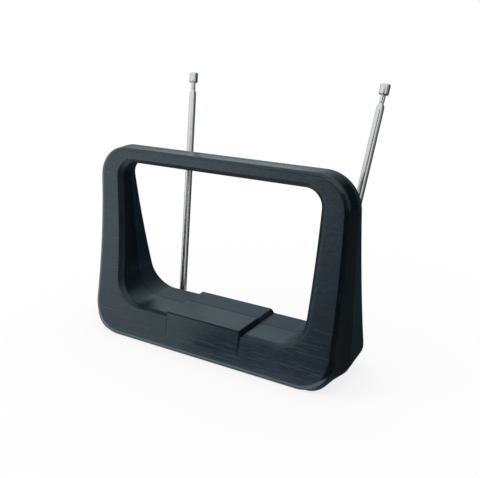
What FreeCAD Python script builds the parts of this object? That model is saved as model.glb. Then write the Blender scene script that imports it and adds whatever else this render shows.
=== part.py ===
"""Indoor television antenna: a wedge-shaped loop frame on a flat base, with two telescopic rods behind it.

Millimetres. +X to the right, +Y to the back, +Z up. The origin is the middle of the base, on the surface
that the feet stand on.
"""
import FreeCAD, Part
import math
import os
import re
import Sketcher
from FreeCAD import Placement, Rotation, Vector

# Driving sizes
SIZES = {
    # Frame outline, seen from the front
    "frame_width": 213.0,
    "frame_height": 148.7,
    "corner_radius": 25.0,
    "top_bar": 11.4,
    "bottom_bar": 26.2,
    "side_bar_top": 20.2,
    "side_bar_bottom": 25.7,
    "window_top_radius": 12.5,
    "window_bottom_radius": 21.0,
    # Frame profile, seen from the side
    "top_depth": 14.8,
    "front_lean": 21.7,
    "front_hollow": 4.95,
    "rear_lean": 23.95,
    "rear_hollow": 3.8,
    "rear_lip": 3.6,
    # Shells: wider than the plate from some way ahead of the seam, with lower corners that tighten towards it
    "shell_flare": 1.45,
    "flare_run": 14.0,
    "low_corner_front": 20.2,
    "low_corner_seam": 14.0,
    "low_corner_rear": 20.5,
    "wall": 2.2,
    "bezel_thickness": 3.4,
    "plate_gap": 0.12,
    "rim_bevel_width": 3.0,
    "rim_bevel_depth": 1.55,
    "window_bevel_width": 3.05,
    "window_bevel_depth": 3.0,
    "peg_radius": 1.5,
    "peg_length": 1.6,
    "peg_low_height": 44.0,
    "peg_high_height": 82.0,
    "peg_spread": 53.0,
    # Raised saddle over the bottom bar
    "saddle_width": 65.0,
    "saddle_rise": 3.3,
    "saddle_proud": 1.7,
    "saddle_drop": 20.5,
    "saddle_flank": 0.6,
    "saddle_edge": 1.4,
    # Foot mat and ballast
    "foot_proud": 0.8,
    "mat_thickness": 1.4,
    "mat_end_margin": 3.5,
    "mat_edge_margin": 6.2,
    "mat_corner": 6.0,
    "ballast_length": 150.0,
    "ballast_width": 16.0,
    "ballast_thickness": 5.0,
    "ballast_margin": 1.0,
    "ballast_peg_radius": 2.0,
    "ballast_peg_spread": 55.0,
    # Housing screws and their bosses
    "boss_radius": 3.2,
    "boss_margin": 1.4,
    "bar_boss_margin": 15.0,
    "screw_radius": 1.45,
    "screw_length": 8.0,
    "screw_head_radius": 2.4,
    "screw_head_height": 1.6,
    "screw_seat": 2.3,
    "pilot_spare": 0.3,
    # Strip loop
    "loop_margin": 3.4,
    "strip_thickness": 0.8,
    "strip_clearance": 0.3,
    "loop_gap": 16.0,
    "rib_thickness": 2.0,
    "rib_margin": 2.0,
    "rib_low_height": 60.0,
    "rib_high_height": 104.0,
    # Matching board
    "board_length": 60.0,
    "board_width": 24.0,
    "board_thickness": 1.6,
    "board_height": 5.0,
    "board_margin": 0.5,
    "post_radius": 2.6,
    "post_inset": 5.0,
    "board_screw_radius": 1.2,
    "board_screw_head_radius": 2.2,
    "board_screw_head_height": 1.5,
    "board_screw_length": 4.5,
    "core_length": 14.0,
    "core_width": 8.0,
    "core_height": 7.0,
    "core_hole_radius": 1.7,
    "core_hole_spacing": 6.0,
    "winding_radius": 0.5,
    "capacitor_spread": 15.0,
    "capacitor_setback": 12.0,
    "capacitor_radius": 3.0,
    "capacitor_thickness": 2.2,
    "capacitor_lift": 1.5,
    "leg_radius": 0.3,
    "lead_radius": 0.6,
    "lead_bend": 1.5,
    "lead_turn_margin": 6.0,
    "lead_end_inset": 9.0,
    "lead_end_setback": 9.5,
    # Lead socket
    "socket_radius": 4.76,
    "socket_step": 0.24,
    "socket_length": 10.8,
    "socket_bore": 3.2,
    "socket_flange_flats": 12.0,
    "socket_flange_thickness": 2.5,
    "socket_washer_radius": 7.5,
    "socket_washer_thickness": 1.0,
    "socket_nut_flats": 12.0,
    "socket_nut_thickness": 3.0,
    "insulator_stub": 1.0,
    "insulator_recess": 1.5,
    "contact_radius": 0.6,
    "contact_recess": 2.5,
    "contact_tail": 4.0,
    "contact_bend": 1.2,
    # Rod pads and swivels
    "pad_radius": 8.5,
    "pad_depth": 8.2,
    "pivot_inset": 36.48,
    "pivot_reach": 15.24,
    "pivot_height": 10.1,
    "stud_radius": 2.5,
    "flange_radius": 6.0,
    "flange_thickness": 2.6,
    "neck_radius": 4.0,
    "swivel_washer_thickness": 0.6,
    "lug_radius": 5.0,
    "lug_thickness": 0.5,
    "lug_tail_length": 5.0,
    "lug_tail_width": 2.5,
    "lug_overlap": 0.5,
    "spring_washer_radius": 4.6,
    "spring_washer_thickness": 0.9,
    "stud_end": 1.0,
    "nut_flats": 8.0,
    "nut_thickness": 4.0,
    "fork_width": 9.0,
    "fork_radius": 3.5,
    "slot_margin": 1.0,
    "tongue_thickness": 3.0,
    "pin_radius": 1.25,
    "pin_head_radius": 2.1,
    "pin_head_thickness": 0.8,
    # Telescopic rods
    "rest_spread_angle": 5.26,
    "rest_lean_angle": 14.14,
    "rod_length": 193.5,
    "tube_diameter": 6.0,
    "tube_wall": 0.4,
    "tube_gap": 0.15,
    "knuckle_length": 6.4,
    "spigot_length": 6.0,
    "shoulder_length": 2.2,
    "mouth_length": 3.2,
    "mouth_lip": 0.25,
    "mouth_step": 1.0,
    "collar_length": 6.0,
    "cap_diameter": 7.6,
    "cap_height": 8.3,
    "cap_edge": 0.7,
    "neck_diameter": 3.9,
    "neck_length": 7.9,
    # Clearances
    "run_clearance": 0.05,
    "fit_clearance": 0.02,
    "seat_clearance": 0.3,
    "face_clearance": 0.1,
}

SIDES = {"left": -1.0, "right": 1.0}
# Reach of cutting shapes past what they cut, so that every cut runs clean through
PAST = 12.0

doc = FreeCAD.newDocument("indoor_antenna")
dims = doc.addObject("Spreadsheet::Sheet", "dims")
for row, (alias, number) in enumerate(SIZES.items(), start=1):
    dims.set(f"A{row}", alias.replace("_", " "))
    dims.set(f"B{row}", str(number))
    dims.setAlias(f"B{row}", alias)
doc.recompute()

PIECES = []


# Sheet expressions

def val(text):
    """Number that an expression on the sheet's sizes gives."""
    return float(dims.evalExpression(text))


def linked(text):
    """The same expression as another object of the document writes it."""
    return re.sub(r"[a-z][a-z_]+", lambda m: "dims." + m[0] if m[0] in SIZES else m[0], text)


def bind(item, prop, text):
    item.setExpression(prop, linked(text))


# Building blocks

def piece(item, label):
    """Marks a finished object as a sub-part and names its file."""
    item.Label = label
    PIECES.append(item)


def new_body(name):
    return doc.addObject("PartDesign::Body", name)


def new_sketch(body, role):
    plane = next(f for f in body.Origin.OriginFeatures if f.Role == role)
    sketch = body.newObject("Sketcher::SketchObject", body.Name + "_outline")
    sketch.AttachmentSupport = [(plane, "")]
    sketch.MapMode = "FlatFace"
    return sketch


def polygon(sketch, points):
    """Closed outline whose corners are pairs of sheet expressions, each one a driving constraint."""
    corners = [Vector(val(a), val(b), 0) for a, b in points]
    first = sketch.GeometryCount
    count = len(corners)
    for i in range(count):
        sketch.addGeometry(Part.LineSegment(corners[i], corners[(i + 1) % count]), False)
    for i in range(count):
        sketch.addConstraint(Sketcher.Constraint("Coincident", first + i, 2, first + (i + 1) % count, 1))
    for i, pair in enumerate(points):
        for kind, axis, text in (("DistanceX", -2, pair[0]), ("DistanceY", -1, pair[1])):
            if text == "0":
                sketch.addConstraint(Sketcher.Constraint("PointOnObject", first + i, 1, axis))
            else:
                index = sketch.addConstraint(Sketcher.Constraint(kind, -1, 1, first + i, 1, val(text)))
                bind(sketch, f"Constraints[{index}]", text)


def trapezoid(sketch, low_half, low, high_half, high):
    """Outline that is the same to both sides of the vertical axis."""
    polygon(sketch, [(f"-({low_half})", low), (low_half, low), (high_half, high), (f"-({high_half})", high)])


def symmetric_pad(body, sketch, length):
    pad = body.newObject("PartDesign::Pad", body.Name + "_pad")
    pad.Profile = sketch
    pad.SideType = "Symmetric"
    bind(pad, "Length", length)
    doc.recompute()
    return pad


def rounded(body, base, label, radius, chosen):
    """Rounds the edges of a body's last feature whose middle point is chosen."""
    edges = [f"Edge{i}" for i, e in enumerate(base.Shape.Edges, start=1) if chosen(e.CenterOfMass)]
    fillet = body.newObject("PartDesign::Fillet", f"{body.Name}_{label}")
    fillet.Base = (base, edges)
    bind(fillet, "Radius", radius)
    doc.recompute()
    return fillet


def at_corner(half, height):
    """Chooses edges along Y at a half width and a height."""
    x, z = val(half), val(height)
    return lambda p: abs(abs(p.x) - x) < 1e-3 and abs(p.y) < 1e-3 and abs(p.z - z) < 1e-3


def turned(name, points):
    """Turned piece about its own Z axis, from a half section of (radius, height) expressions."""
    body = new_body(name)
    sketch = new_sketch(body, "XZ_Plane")
    polygon(sketch, points)
    spin = body.newObject("PartDesign::Revolution", name + "_spin")
    spin.Profile = sketch
    spin.ReferenceAxis = (sketch, ["V_Axis"])
    spin.Angle = 360.0
    return body


AXES = {
    "x": Rotation(Vector(0, 1, 0), 90),
    "y": Rotation(Vector(1, 0, 0), -90),
    "z": Rotation(),
}


def cylinder(name, radius, length, base, axis="z"):
    """Round bar from a base point along an axis."""
    bar = doc.addObject("Part::Cylinder", name)
    bind(bar, "Radius", radius)
    bind(bar, "Height", length)
    bar.Placement = Placement(Vector(*base), AXES[axis])
    return bar


def cylinders(name, radius, start, end, spots):
    """Round bars along Y at several (x, z) places, from one depth to another."""
    return [cylinder(f"{name}_{i}", radius, str(end - start), (x, start, z), "y")
            for i, (x, z) in enumerate(spots)]


def block(name, length, width, height, corner):
    """Box from its lowest corner."""
    box = doc.addObject("Part::Box", name)
    bind(box, "Length", length)
    bind(box, "Width", width)
    bind(box, "Height", height)
    box.Placement = Placement(Vector(*corner), Rotation())
    return box


def hexagon(name, flats, length, base):
    """Six-sided bar along Y."""
    bar = doc.addObject("Part::Prism", name)
    bar.Polygon = 6
    bind(bar, "Circumradius", f"{flats} / sqrt(3)")
    bind(bar, "Height", length)
    bar.Placement = Placement(Vector(*base), AXES["y"])
    return bar


def fuse(name, *shapes):
    joined = doc.addObject("Part::MultiFuse", name)
    joined.Shapes = list(shapes)
    return joined


def common(name, *shapes):
    shared = doc.addObject("Part::MultiCommon", name)
    shared.Shapes = list(shapes)
    return shared


def cut(name, base, *tools):
    result = doc.addObject("Part::Cut", name)
    result.Base = base
    result.Tool = tools[0] if len(tools) == 1 else fuse(name + "_tools", *tools)
    return result


def group(name, members):
    """Like pieces that stay separate solids in one node."""
    bundle = doc.addObject("Part::Compound", name)
    bundle.Links = members
    return bundle


def ring(name, outer, bore, length, base):
    """Washer or sleeve along Y."""
    disc = cylinder(name + "_disc", outer, length, base, "y")
    hole = cylinder(name + "_hole", bore, length, base, "y")
    return cut(name, disc, hole)


def bent_wire(name, points, radius, bend, closed=False):
    """Round wire along straight runs joined by tangent arcs."""
    count = len(points)
    trims = {}
    for i in range(count) if closed else range(1, count - 1):
        before = (points[i - 1] - points[i]).normalize()
        after = (points[(i + 1) % count] - points[i]).normalize()
        half_turn = (math.pi - before.getAngle(after)) / 2
        setback = bend * math.tan(half_turn)
        crown = points[i] + (before + after).normalize() * (bend / math.cos(half_turn) - bend)
        trims[i] = (points[i] + before * setback, crown, points[i] + after * setback)
    edges = []
    for i in range(count if closed else count - 1):
        j = (i + 1) % count
        start = trims[i][2] if i in trims else points[i]
        end = trims[j][0] if j in trims else points[j]
        edges.append(Part.LineSegment(start, end).toShape())
        if j in trims:
            edges.append(Part.Arc(*trims[j]).toShape())
    tangent = edges[0].tangentAt(edges[0].FirstParameter)
    section = Part.Wire(Part.makeCircle(radius, edges[0].Vertexes[0].Point, tangent))
    wire = doc.addObject("Part::Feature", name)
    wire.Shape = Part.Wire(edges).makePipeShell([section], True, False)
    return wire


# Frame profile: two large arcs, both hollow, one for the front and one for the rear

BASE_Z = val("foot_proud")
TOP_Z = val("foot_proud + frame_height")
FLOOR_Z = val("foot_proud + wall")
BAR_MID_Z = val("foot_proud + bottom_bar / 2")
BASE_DEPTH = "(top_depth + front_lean + rear_lean)"
HALF_BASE = val(BASE_DEPTH) / 2
SEAM_Y = HALF_BASE - val("rear_lean + rear_lip")


def profile_arc(bottom_y, top_y, hollow):
    """Centre and radius of the arc from the base edge to the top edge; hollow is its depth at mid-height."""
    low, high = Vector(bottom_y, BASE_Z, 0), Vector(top_y, TOP_Z, 0)
    chord = high - low
    radius = chord.Length ** 2 / (8 * abs(hollow)) + abs(hollow) / 2
    inward = Vector(chord.y, -chord.x, 0).normalize() * math.copysign(1, hollow)
    return (low + high) * 0.5 + inward * (abs(hollow) - radius), radius


FRONT = profile_arc(-HALF_BASE, -HALF_BASE + val("front_lean"), val("front_hollow"))
REAR = profile_arc(HALF_BASE, HALF_BASE - val("rear_lean"), -val("rear_hollow"))


def front_y(z, depth=0.0):
    """Front surface at a height, or a surface at a depth behind it."""
    centre, radius = FRONT
    return centre.x + math.sqrt((radius + depth) ** 2 - (z - centre.y) ** 2)


def rear_y(z, depth=0.0):
    """Rear surface at a height, or a surface at a depth in front of it."""
    centre, radius = REAR
    return centre.x - math.sqrt((radius + depth) ** 2 - (z - centre.y) ** 2)


def seam_y(z):
    return SEAM_Y


def ahead_y(z):
    """Plane in front of the whole frame."""
    return -HALF_BASE - PAST


def behind_y(z):
    """Plane behind the whole frame."""
    return HALF_BASE + PAST


def zone(name, front, rear):
    """Slab across the whole width between two surfaces, each given as a function of height."""
    low, high = BASE_Z - PAST, TOP_Z + PAST
    body = new_body(name)
    sketch = new_sketch(body, "YZ_Plane")
    for curve in (front, rear):
        start, middle, end = (Vector(curve(z), z, 0) for z in (low, (low + high) / 2, high))
        straight = abs(start.x + end.x - 2 * middle.x) < 1e-6
        sketch.addGeometry(Part.LineSegment(start, end) if straight else Part.Arc(start, middle, end), False)
    for z in (low, high):
        sketch.addGeometry(Part.LineSegment(Vector(front(z), z, 0), Vector(rear(z), z, 0)), False)
    symmetric_pad(body, sketch, f"frame_width + {2 * PAST}")
    return body


def frame_prism(name, inset):
    """Frame outline with its window, drawn in by an inset on every side, as a bar through the whole depth."""
    half, low = f"frame_width / 2 - {inset}", f"foot_proud + {inset}"
    high = f"foot_proud + frame_height - {inset}"
    body = new_body(name)
    sketch = new_sketch(body, "XZ_Plane")
    trapezoid(sketch, half, low, half, high)
    trapezoid(sketch, *window_corners(inset))
    bar = symmetric_pad(body, sketch, f"2 * {BASE_DEPTH} + {2 * PAST}")
    bar = rounded(body, bar, "low_corners", f"corner_radius - {inset}", at_corner(half, low))
    bar = rounded(body, bar, "high_corners", f"corner_radius - {inset}", at_corner(half, high))
    round_window(body, bar, inset)
    return body


def window_corners(inset):
    """Half width and height of the window's sill, then of its head."""
    return (f"frame_width / 2 - side_bar_bottom + {inset}", f"foot_proud + bottom_bar - {inset}",
            f"frame_width / 2 - side_bar_top + {inset}", f"foot_proud + frame_height - top_bar + {inset}")


def round_window(body, bar, inset):
    sill_half, sill, head_half, head = window_corners(inset)
    bar = rounded(body, bar, "sill", f"window_bottom_radius + {inset}", at_corner(sill_half, sill))
    rounded(body, bar, "head", f"window_top_radius + {inset}", at_corner(head_half, head))


def window_prism(name):
    """Window opening through the whole depth."""
    body = new_body(name)
    sketch = new_sketch(body, "XZ_Plane")
    trapezoid(sketch, *window_corners("0"))
    round_window(body, symmetric_pad(body, sketch, f"2 * {BASE_DEPTH} + {2 * PAST}"), "0")
    return body


def shell_outline(y, flare, low_radius):
    """Outline of the shells at a depth: the frame's, wider by the flare at both sides, with its own lower corners."""
    half = val("frame_width / 2") + flare
    high_radius = val("corner_radius")
    ends, edges = [], []
    for x, z, radius in ((-half, BASE_Z, low_radius), (half, BASE_Z, low_radius),
                         (half, TOP_Z, high_radius), (-half, TOP_Z, high_radius)):
        out_x, out_z = math.copysign(1, x), 1 if z == TOP_Z else -1
        centre_x, centre_z = x - out_x * radius, z - out_z * radius
        slant = radius / math.sqrt(2)
        arc = [Vector(centre_x, y, z), Vector(centre_x + out_x * slant, y, centre_z + out_z * slant),
               Vector(x, y, centre_z)]
        ends.append(arc if out_x * out_z < 0 else arc[::-1])
    for i, arc in enumerate(ends):
        edges += [Part.Arc(*arc).toShape(), Part.makeLine(arc[-1], ends[(i + 1) % len(ends)][0])]
    return Part.Wire(edges)


def shell_block():
    """Outside of both shells before the front and the rear are cut to their arcs."""
    front, flare_y, rear = -HALF_BASE - PAST, SEAM_Y - val("flare_run"), HALF_BASE + PAST
    front_radius, seam_radius = val("low_corner_front"), val("low_corner_seam")
    share = (flare_y + HALF_BASE) / (SEAM_Y + HALF_BASE)
    radius_at_flare = front_radius + (seam_radius - front_radius) * share
    flare = val("shell_flare")
    solid = doc.addObject("Part::Feature", "shell_block")
    solid.Shape = Part.makeLoft([shell_outline(front, 0.0, front_radius),
                                 shell_outline(-HALF_BASE, 0.0, front_radius),
                                 shell_outline(flare_y, 0.0, radius_at_flare),
                                 shell_outline(SEAM_Y, flare, seam_radius),
                                 shell_outline(HALF_BASE, flare, val("low_corner_rear")),
                                 shell_outline(rear, flare, val("low_corner_rear"))], True, True)
    return solid


def bevel(name, base, in_window, width, depth):
    """Bevel along the front edge of the frame's outside or of its window."""
    doc.recompute()
    reach = val("frame_width / 2 - side_bar_top / 2")
    rows = []
    for index, edge in enumerate(base.Shape.Edges, start=1):
        samples = edge.discretize(5)
        on_front = all(abs(p.y - front_y(p.z)) < 0.01 for p in samples)
        inside = all(abs(p.x) < reach and BAR_MID_Z < p.z < TOP_Z - val("top_bar / 2") for p in samples)
        if on_front and inside == in_window:
            rows.append((index, val(width), val(depth)))
    edge_bevel = doc.addObject("Part::Chamfer", name)
    edge_bevel.Base = base
    edge_bevel.Edges = rows
    doc.recompute()
    return edge_bevel


# Envelope of the plate, and of the shells

zone_frame = zone("zone_frame", front_y, rear_y)
frame_blank = common("frame_blank", frame_prism("frame_bar", "0"), zone_frame)
frame_rimmed = bevel("frame_rimmed", frame_blank, False, "rim_bevel_width", "rim_bevel_depth")
frame_bevelled = bevel("frame_bevelled", frame_rimmed, True, "window_bevel_width", "window_bevel_depth")

# Saddle: a block with sloping flanks on the bar's top and on its front, where it fades into the plate

SADDLE_TOP = val("foot_proud + bottom_bar + saddle_rise")
SADDLE_FADE = SADDLE_TOP - val("saddle_drop")
SADDLE_FRONT = front_y(SADDLE_TOP) - val("saddle_proud")
SADDLE_SLOPE = (SADDLE_FRONT - front_y(SADDLE_FADE)) / val("saddle_drop")


def saddle_over_bar():
    """Trapezoid seen from the front, through the whole depth."""
    body = new_body("saddle_over_bar")
    sketch = new_sketch(body, "XZ_Plane")
    low_half = "saddle_width / 2 + saddle_flank * (bottom_bar + saddle_rise - wall)"
    trapezoid(sketch, low_half, "foot_proud + wall", "saddle_width / 2", "foot_proud + bottom_bar + saddle_rise")
    pad = symmetric_pad(body, sketch, f"2 * {BASE_DEPTH} + {2 * PAST}")
    rounded(body, pad, "edges", "saddle_edge", at_corner("saddle_width / 2", "foot_proud + bottom_bar + saddle_rise"))
    return body


def saddle_down_front():
    """Trapezoid seen from above, carried up along the slope of the saddle's front."""
    depth = val(BASE_DEPTH)
    half = val("saddle_width / 2")
    back_half = half + val("saddle_flank") * depth
    outlines = []
    for z in (FLOOR_Z, SADDLE_TOP):
        y = SADDLE_FRONT - (SADDLE_TOP - z) * SADDLE_SLOPE
        corners = [Vector(-half, y, z), Vector(half, y, z), Vector(back_half, y + depth, z),
                   Vector(-back_half, y + depth, z)]
        outlines.append(Part.makePolygon(corners + corners[:1]))
    solid = doc.addObject("Part::Feature", "saddle_down_front")
    solid.Shape = Part.makeLoft(outlines, True, True)
    return solid


saddle = common("saddle", saddle_over_bar(), saddle_down_front(), zone("zone_saddle", ahead_y, rear_y))
plate_envelope = fuse("plate_envelope", frame_bevelled, saddle)
shell_bar = cut("shell_bar", shell_block(), window_prism("shell_window"))
shell_envelope = fuse("shell_envelope", common("shell_blank", shell_bar, zone_frame), saddle)

# The envelopes are parted into plate, front shell and rear shell

PLATE_BACK = val("bezel_thickness")
SHELL_FACE = val("bezel_thickness + plate_gap")
SHELL_INSIDE = val("bezel_thickness + plate_gap + wall")


def plate_back_y(z):
    return front_y(z, PLATE_BACK)


def shell_face_y(z):
    return front_y(z, SHELL_FACE)


def front_inside_y(z):
    return front_y(z, SHELL_INSIDE)


def rear_inside_y(z):
    return rear_y(z, val("wall"))


zone_plate = zone("zone_plate", ahead_y, plate_back_y)
zone_front = zone("zone_front", shell_face_y, seam_y)
zone_rear = zone("zone_rear", seam_y, behind_y)
zone_cavity = zone("zone_cavity", front_inside_y, rear_inside_y)
cavity = common("cavity", frame_prism("cavity_bar", "wall"), zone_cavity)
hollow = cut("hollow", shell_envelope, cavity)

# Places shared by several pieces

LOOP_INSET = "(wall + loop_margin)"
LOOP_LOW = "foot_proud + wall + board_height + board_thickness"
LOOP_HIGH = "foot_proud + frame_height - (top_bar - strip_thickness) / 2"
LOOP_RADIUS = f"(corner_radius - {LOOP_INSET})"
STRIP_FRONT = front_inside_y(val(LOOP_HIGH)) + val("strip_clearance")
STRIP_WIDTH = "(top_depth - bezel_thickness - plate_gap - 2 * wall - 2 * strip_clearance)"

# Screw bosses: one inside each rounded corner of the loop, and two in the bottom bar
BOSS_REACH = val(f"({LOOP_RADIUS} - strip_thickness - boss_radius - boss_margin) / sqrt(2)")
BOSS_X = val(f"frame_width / 2 - {LOOP_INSET} - {LOOP_RADIUS}") + BOSS_REACH
BOSS_HEIGHTS = (val(f"{LOOP_LOW} + {LOOP_RADIUS}") - BOSS_REACH, val(f"{LOOP_HIGH} - {LOOP_RADIUS}") + BOSS_REACH)
BAR_BOSS = (val("board_length / 2 + bar_boss_margin"),
            val("foot_proud + bottom_bar - wall - boss_radius - boss_margin"))
BOSSES = [(s * x, z) for x, z in ((BOSS_X, BOSS_HEIGHTS[0]), (BOSS_X, BOSS_HEIGHTS[1]), BAR_BOSS)
          for s in SIDES.values()]

# Pegs of the front plate: on the middle lines of the side bars, the top bar and the bottom bar
PEG_SPOTS = [(val("frame_width / 2 - (side_bar_top + side_bar_bottom) / 4"), BASE_Z + val("peg_low_height")),
             (val("frame_width / 2 - (side_bar_top + side_bar_bottom) / 4"), BASE_Z + val("peg_high_height")),
             (val("peg_spread"), TOP_Z - val("top_bar / 2")),
             (val("peg_spread"), BAR_MID_Z)]
PEGS = [(s * x, z) for x, z in PEG_SPOTS for s in SIDES.values()]

BALLAST_FRONT = front_inside_y(FLOOR_Z + val("ballast_thickness")) + val("ballast_margin")
BALLAST_PEGS = [(s * val("ballast_peg_spread"), BALLAST_FRONT + val("ballast_width / 2")) for s in SIDES.values()]

REAR_PAD_Y = HALF_BASE
PAD_INNER_Y = REAR_PAD_Y - val("pad_depth")
PIVOT_Y = REAR_PAD_Y + val("pivot_reach")
PIVOT_X = val("frame_width / 2 - pivot_inset")
PIVOT_Z = val("foot_proud + pivot_height")
PIVOTS = [(s * PIVOT_X, PIVOT_Z) for s in SIDES.values()]
INLET = [(0.0, BAR_MID_Z)]
SOCKET_SHANK = "socket_radius + socket_step"

BOARD_Z = FLOOR_Z + val("board_height")
BOARD_TOP = BOARD_Z + val("board_thickness")
SOCKET_FLANGE_Y = PAD_INNER_Y - val("socket_flange_thickness")
BOARD_BACK = SOCKET_FLANGE_Y - val("board_margin")
BOARD_FRONT = BOARD_BACK - val("board_width")
POSTS = [(s * val("board_length / 2 - post_inset"), y) for s in SIDES.values()
         for y in (SEAM_Y + val("post_inset"), BOARD_BACK - val("post_inset"))]


def mat_prism(name, clearance):
    """Rounded mat outline under the base, grown by a clearance, from the ground up to the mat's top."""
    half = f"frame_width / 2 - corner_radius - mat_end_margin + {clearance}"
    depth = f"{BASE_DEPTH} / 2 - mat_edge_margin + {clearance}"
    body = new_body(name)
    sketch = new_sketch(body, "XY_Plane")
    trapezoid(sketch, half, f"-({depth})", half, depth)
    pad = body.newObject("PartDesign::Pad", name + "_pad")
    pad.Profile = sketch
    bind(pad, "Length", "mat_thickness")
    doc.recompute()
    x, y, z = val(half), val(depth), val("mat_thickness / 2")
    rounded(body, pad, "corners", f"mat_corner + {clearance}",
            lambda p: max(abs(abs(p.x) - x), abs(abs(p.y) - y), abs(p.z - z)) < 1e-3)
    return body


mat_recess = mat_prism("mat_recess", "seat_clearance")


# Front plate with its pegs

def peg_bars(name, radius, length):
    """Bars that start inside the plate and stand out behind it."""
    return [cylinder(f"{name}_{i}", radius, f"bezel_thickness / 2 + {length}",
                     (x, plate_back_y(z) - val("bezel_thickness / 2"), z), "y") for i, (x, z) in enumerate(PEGS)]


def front_bezel():
    plate = common("plate", plate_envelope, zone_plate)
    piece(fuse("bezel", plate, *peg_bars("peg", "peg_radius", "peg_length")), "front_bezel")


# Front shell: bosses, ribs that carry the loop, and pegs for the ballast

def front_housing():
    shell = common("front_shell", hollow, zone_front)
    bosses = cylinders("front_boss", "boss_radius", -HALF_BASE, SEAM_Y, BOSSES)
    rib_length = f"{LOOP_INSET} + strip_thickness + rib_margin"
    half = val("frame_width / 2")
    ribs = [block(f"rib_{i}", rib_length, str(STRIP_FRONT + HALF_BASE), "rib_thickness", (x, -HALF_BASE, z))
            for i, (x, z) in enumerate((x, BASE_Z + val(z)) for x in (-half, half - val(rib_length))
                                       for z in ("rib_low_height", "rib_high_height"))]
    inner = common("front_inner", fuse("front_inner_blank", *bosses, *ribs), shell_envelope, zone_front)
    keepers = [cylinder(f"ballast_peg_{i}", "ballast_peg_radius", "wall / 2 + ballast_thickness",
                        (x, y, FLOOR_Z - val("wall / 2"))) for i, (x, y) in enumerate(BALLAST_PEGS)]
    pilot_end = SEAM_Y + val("screw_seat - screw_length - pilot_spare")
    pilots = cylinders("pilot", "screw_radius + fit_clearance", pilot_end, SEAM_Y + PAST, BOSSES)
    sockets = peg_bars("peg_hole", "peg_radius + run_clearance", "peg_length + face_clearance")
    solid = fuse("front_shell_full", shell, inner, *keepers)
    piece(cut("front_half", solid, *pilots, *sockets, mat_recess), "front_housing")


# Rear shell: screw seats, board posts, and thick pads for the swivels and the lead socket

def rear_housing():
    shell = common("rear_shell", hollow, zone_rear)
    bosses = cylinders("rear_boss", "boss_radius", SEAM_Y, HALF_BASE, BOSSES)
    inner = common("rear_inner", fuse("rear_inner_blank", *bosses), shell_envelope, zone_rear)
    posts = [cylinder(f"post_{i}", "post_radius", "wall / 2 + board_height", (x, y, FLOOR_Z - val("wall / 2")))
             for i, (x, y) in enumerate(POSTS)]
    pads = cylinders("rear_pad", "pad_radius", PAD_INNER_Y, REAR_PAD_Y, PIVOTS + INLET)
    seat = SEAM_Y + val("screw_seat")
    shanks = cylinders("shank_hole", "screw_radius + seat_clearance", SEAM_Y - PAST, seat + PAST, BOSSES)
    heads = cylinders("head_hole", "screw_head_radius + seat_clearance", seat, HALF_BASE + PAST, BOSSES)
    studs = cylinders("stud_hole", "stud_radius + run_clearance", SEAM_Y, REAR_PAD_Y + PAST, PIVOTS)
    inlet = cylinders("socket_hole", f"{SOCKET_SHANK} + run_clearance", SEAM_Y, REAR_PAD_Y + PAST, INLET)
    pilots = [cylinder(f"post_pilot_{i}", "board_screw_radius + fit_clearance", "board_screw_length",
                       (x, y, BOARD_Z - val("board_screw_length"))) for i, (x, y) in enumerate(POSTS)]
    solid = fuse("rear_shell_full", shell, inner, *posts, *pads)
    piece(cut("rear_half", solid, *shanks, *heads, *studs, *inlet, *pilots, mat_recess), "rear_housing")


# Foot mat, ballast and housing screws

def ballast_plate():
    slab = block("ballast_slab", "ballast_length", "ballast_width", "ballast_thickness",
                 (-val("ballast_length / 2"), BALLAST_FRONT, FLOOR_Z))
    holes = [cylinder(f"ballast_hole_{i}", "ballast_peg_radius + run_clearance", "ballast_thickness",
                      (x, y, FLOOR_Z)) for i, (x, y) in enumerate(BALLAST_PEGS)]
    piece(cut("ballast", slab, *holes), "ballast_plate")


def housing_screws():
    seat = SEAM_Y + val("screw_seat")
    shanks = cylinders("screw_shank", "screw_radius", seat - val("screw_length"), seat, BOSSES)
    heads = cylinders("screw_head", "screw_head_radius", seat, seat + val("screw_head_height"), BOSSES)
    screws = [fuse(f"screw_{i}", *pair) for i, pair in enumerate(zip(shanks, heads))]
    piece(group("screws", screws), "housing_screws")


# Strip loop: one turn inside the ring, open over the board

def uhf_loop():
    body = new_body("loop_band")
    sketch = new_sketch(body, "XZ_Plane")
    half = f"frame_width / 2 - {LOOP_INSET}"
    inner_half, inner_low = f"{half} - strip_thickness", f"{LOOP_LOW} + strip_thickness"
    inner_high = f"{LOOP_HIGH} - strip_thickness"
    trapezoid(sketch, half, LOOP_LOW, half, LOOP_HIGH)
    trapezoid(sketch, inner_half, inner_low, inner_half, inner_high)
    band = symmetric_pad(body, sketch, STRIP_WIDTH)
    inner_radius = f"{LOOP_RADIUS} - strip_thickness"
    band = rounded(body, band, "low_outer", LOOP_RADIUS, at_corner(half, LOOP_LOW))
    band = rounded(body, band, "high_outer", LOOP_RADIUS, at_corner(half, LOOP_HIGH))
    band = rounded(body, band, "low_inner", inner_radius, at_corner(inner_half, inner_low))
    rounded(body, band, "high_inner", inner_radius, at_corner(inner_half, inner_high))
    width = val(STRIP_WIDTH)
    body.Placement = Placement(Vector(0, STRIP_FRONT + width / 2, 0), Rotation())
    gap = block("loop_opening", "loop_gap", f"3 * {STRIP_WIDTH}", "3 * strip_thickness",
                (-val("loop_gap / 2"), STRIP_FRONT - width, BOARD_TOP - val("strip_thickness")))
    piece(cut("loop", body, gap), "uhf_loop")


# Matching board and what is on it

def circuit_board():
    sheet = block("board_sheet", "board_length", "board_width", "board_thickness",
                  (-val("board_length / 2"), BOARD_FRONT, BOARD_Z))
    holes = [cylinder(f"board_hole_{i}", "board_screw_radius + seat_clearance", "board_thickness", (x, y, BOARD_Z))
             for i, (x, y) in enumerate(POSTS)]
    piece(cut("board", sheet, *holes), "circuit_board")


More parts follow.
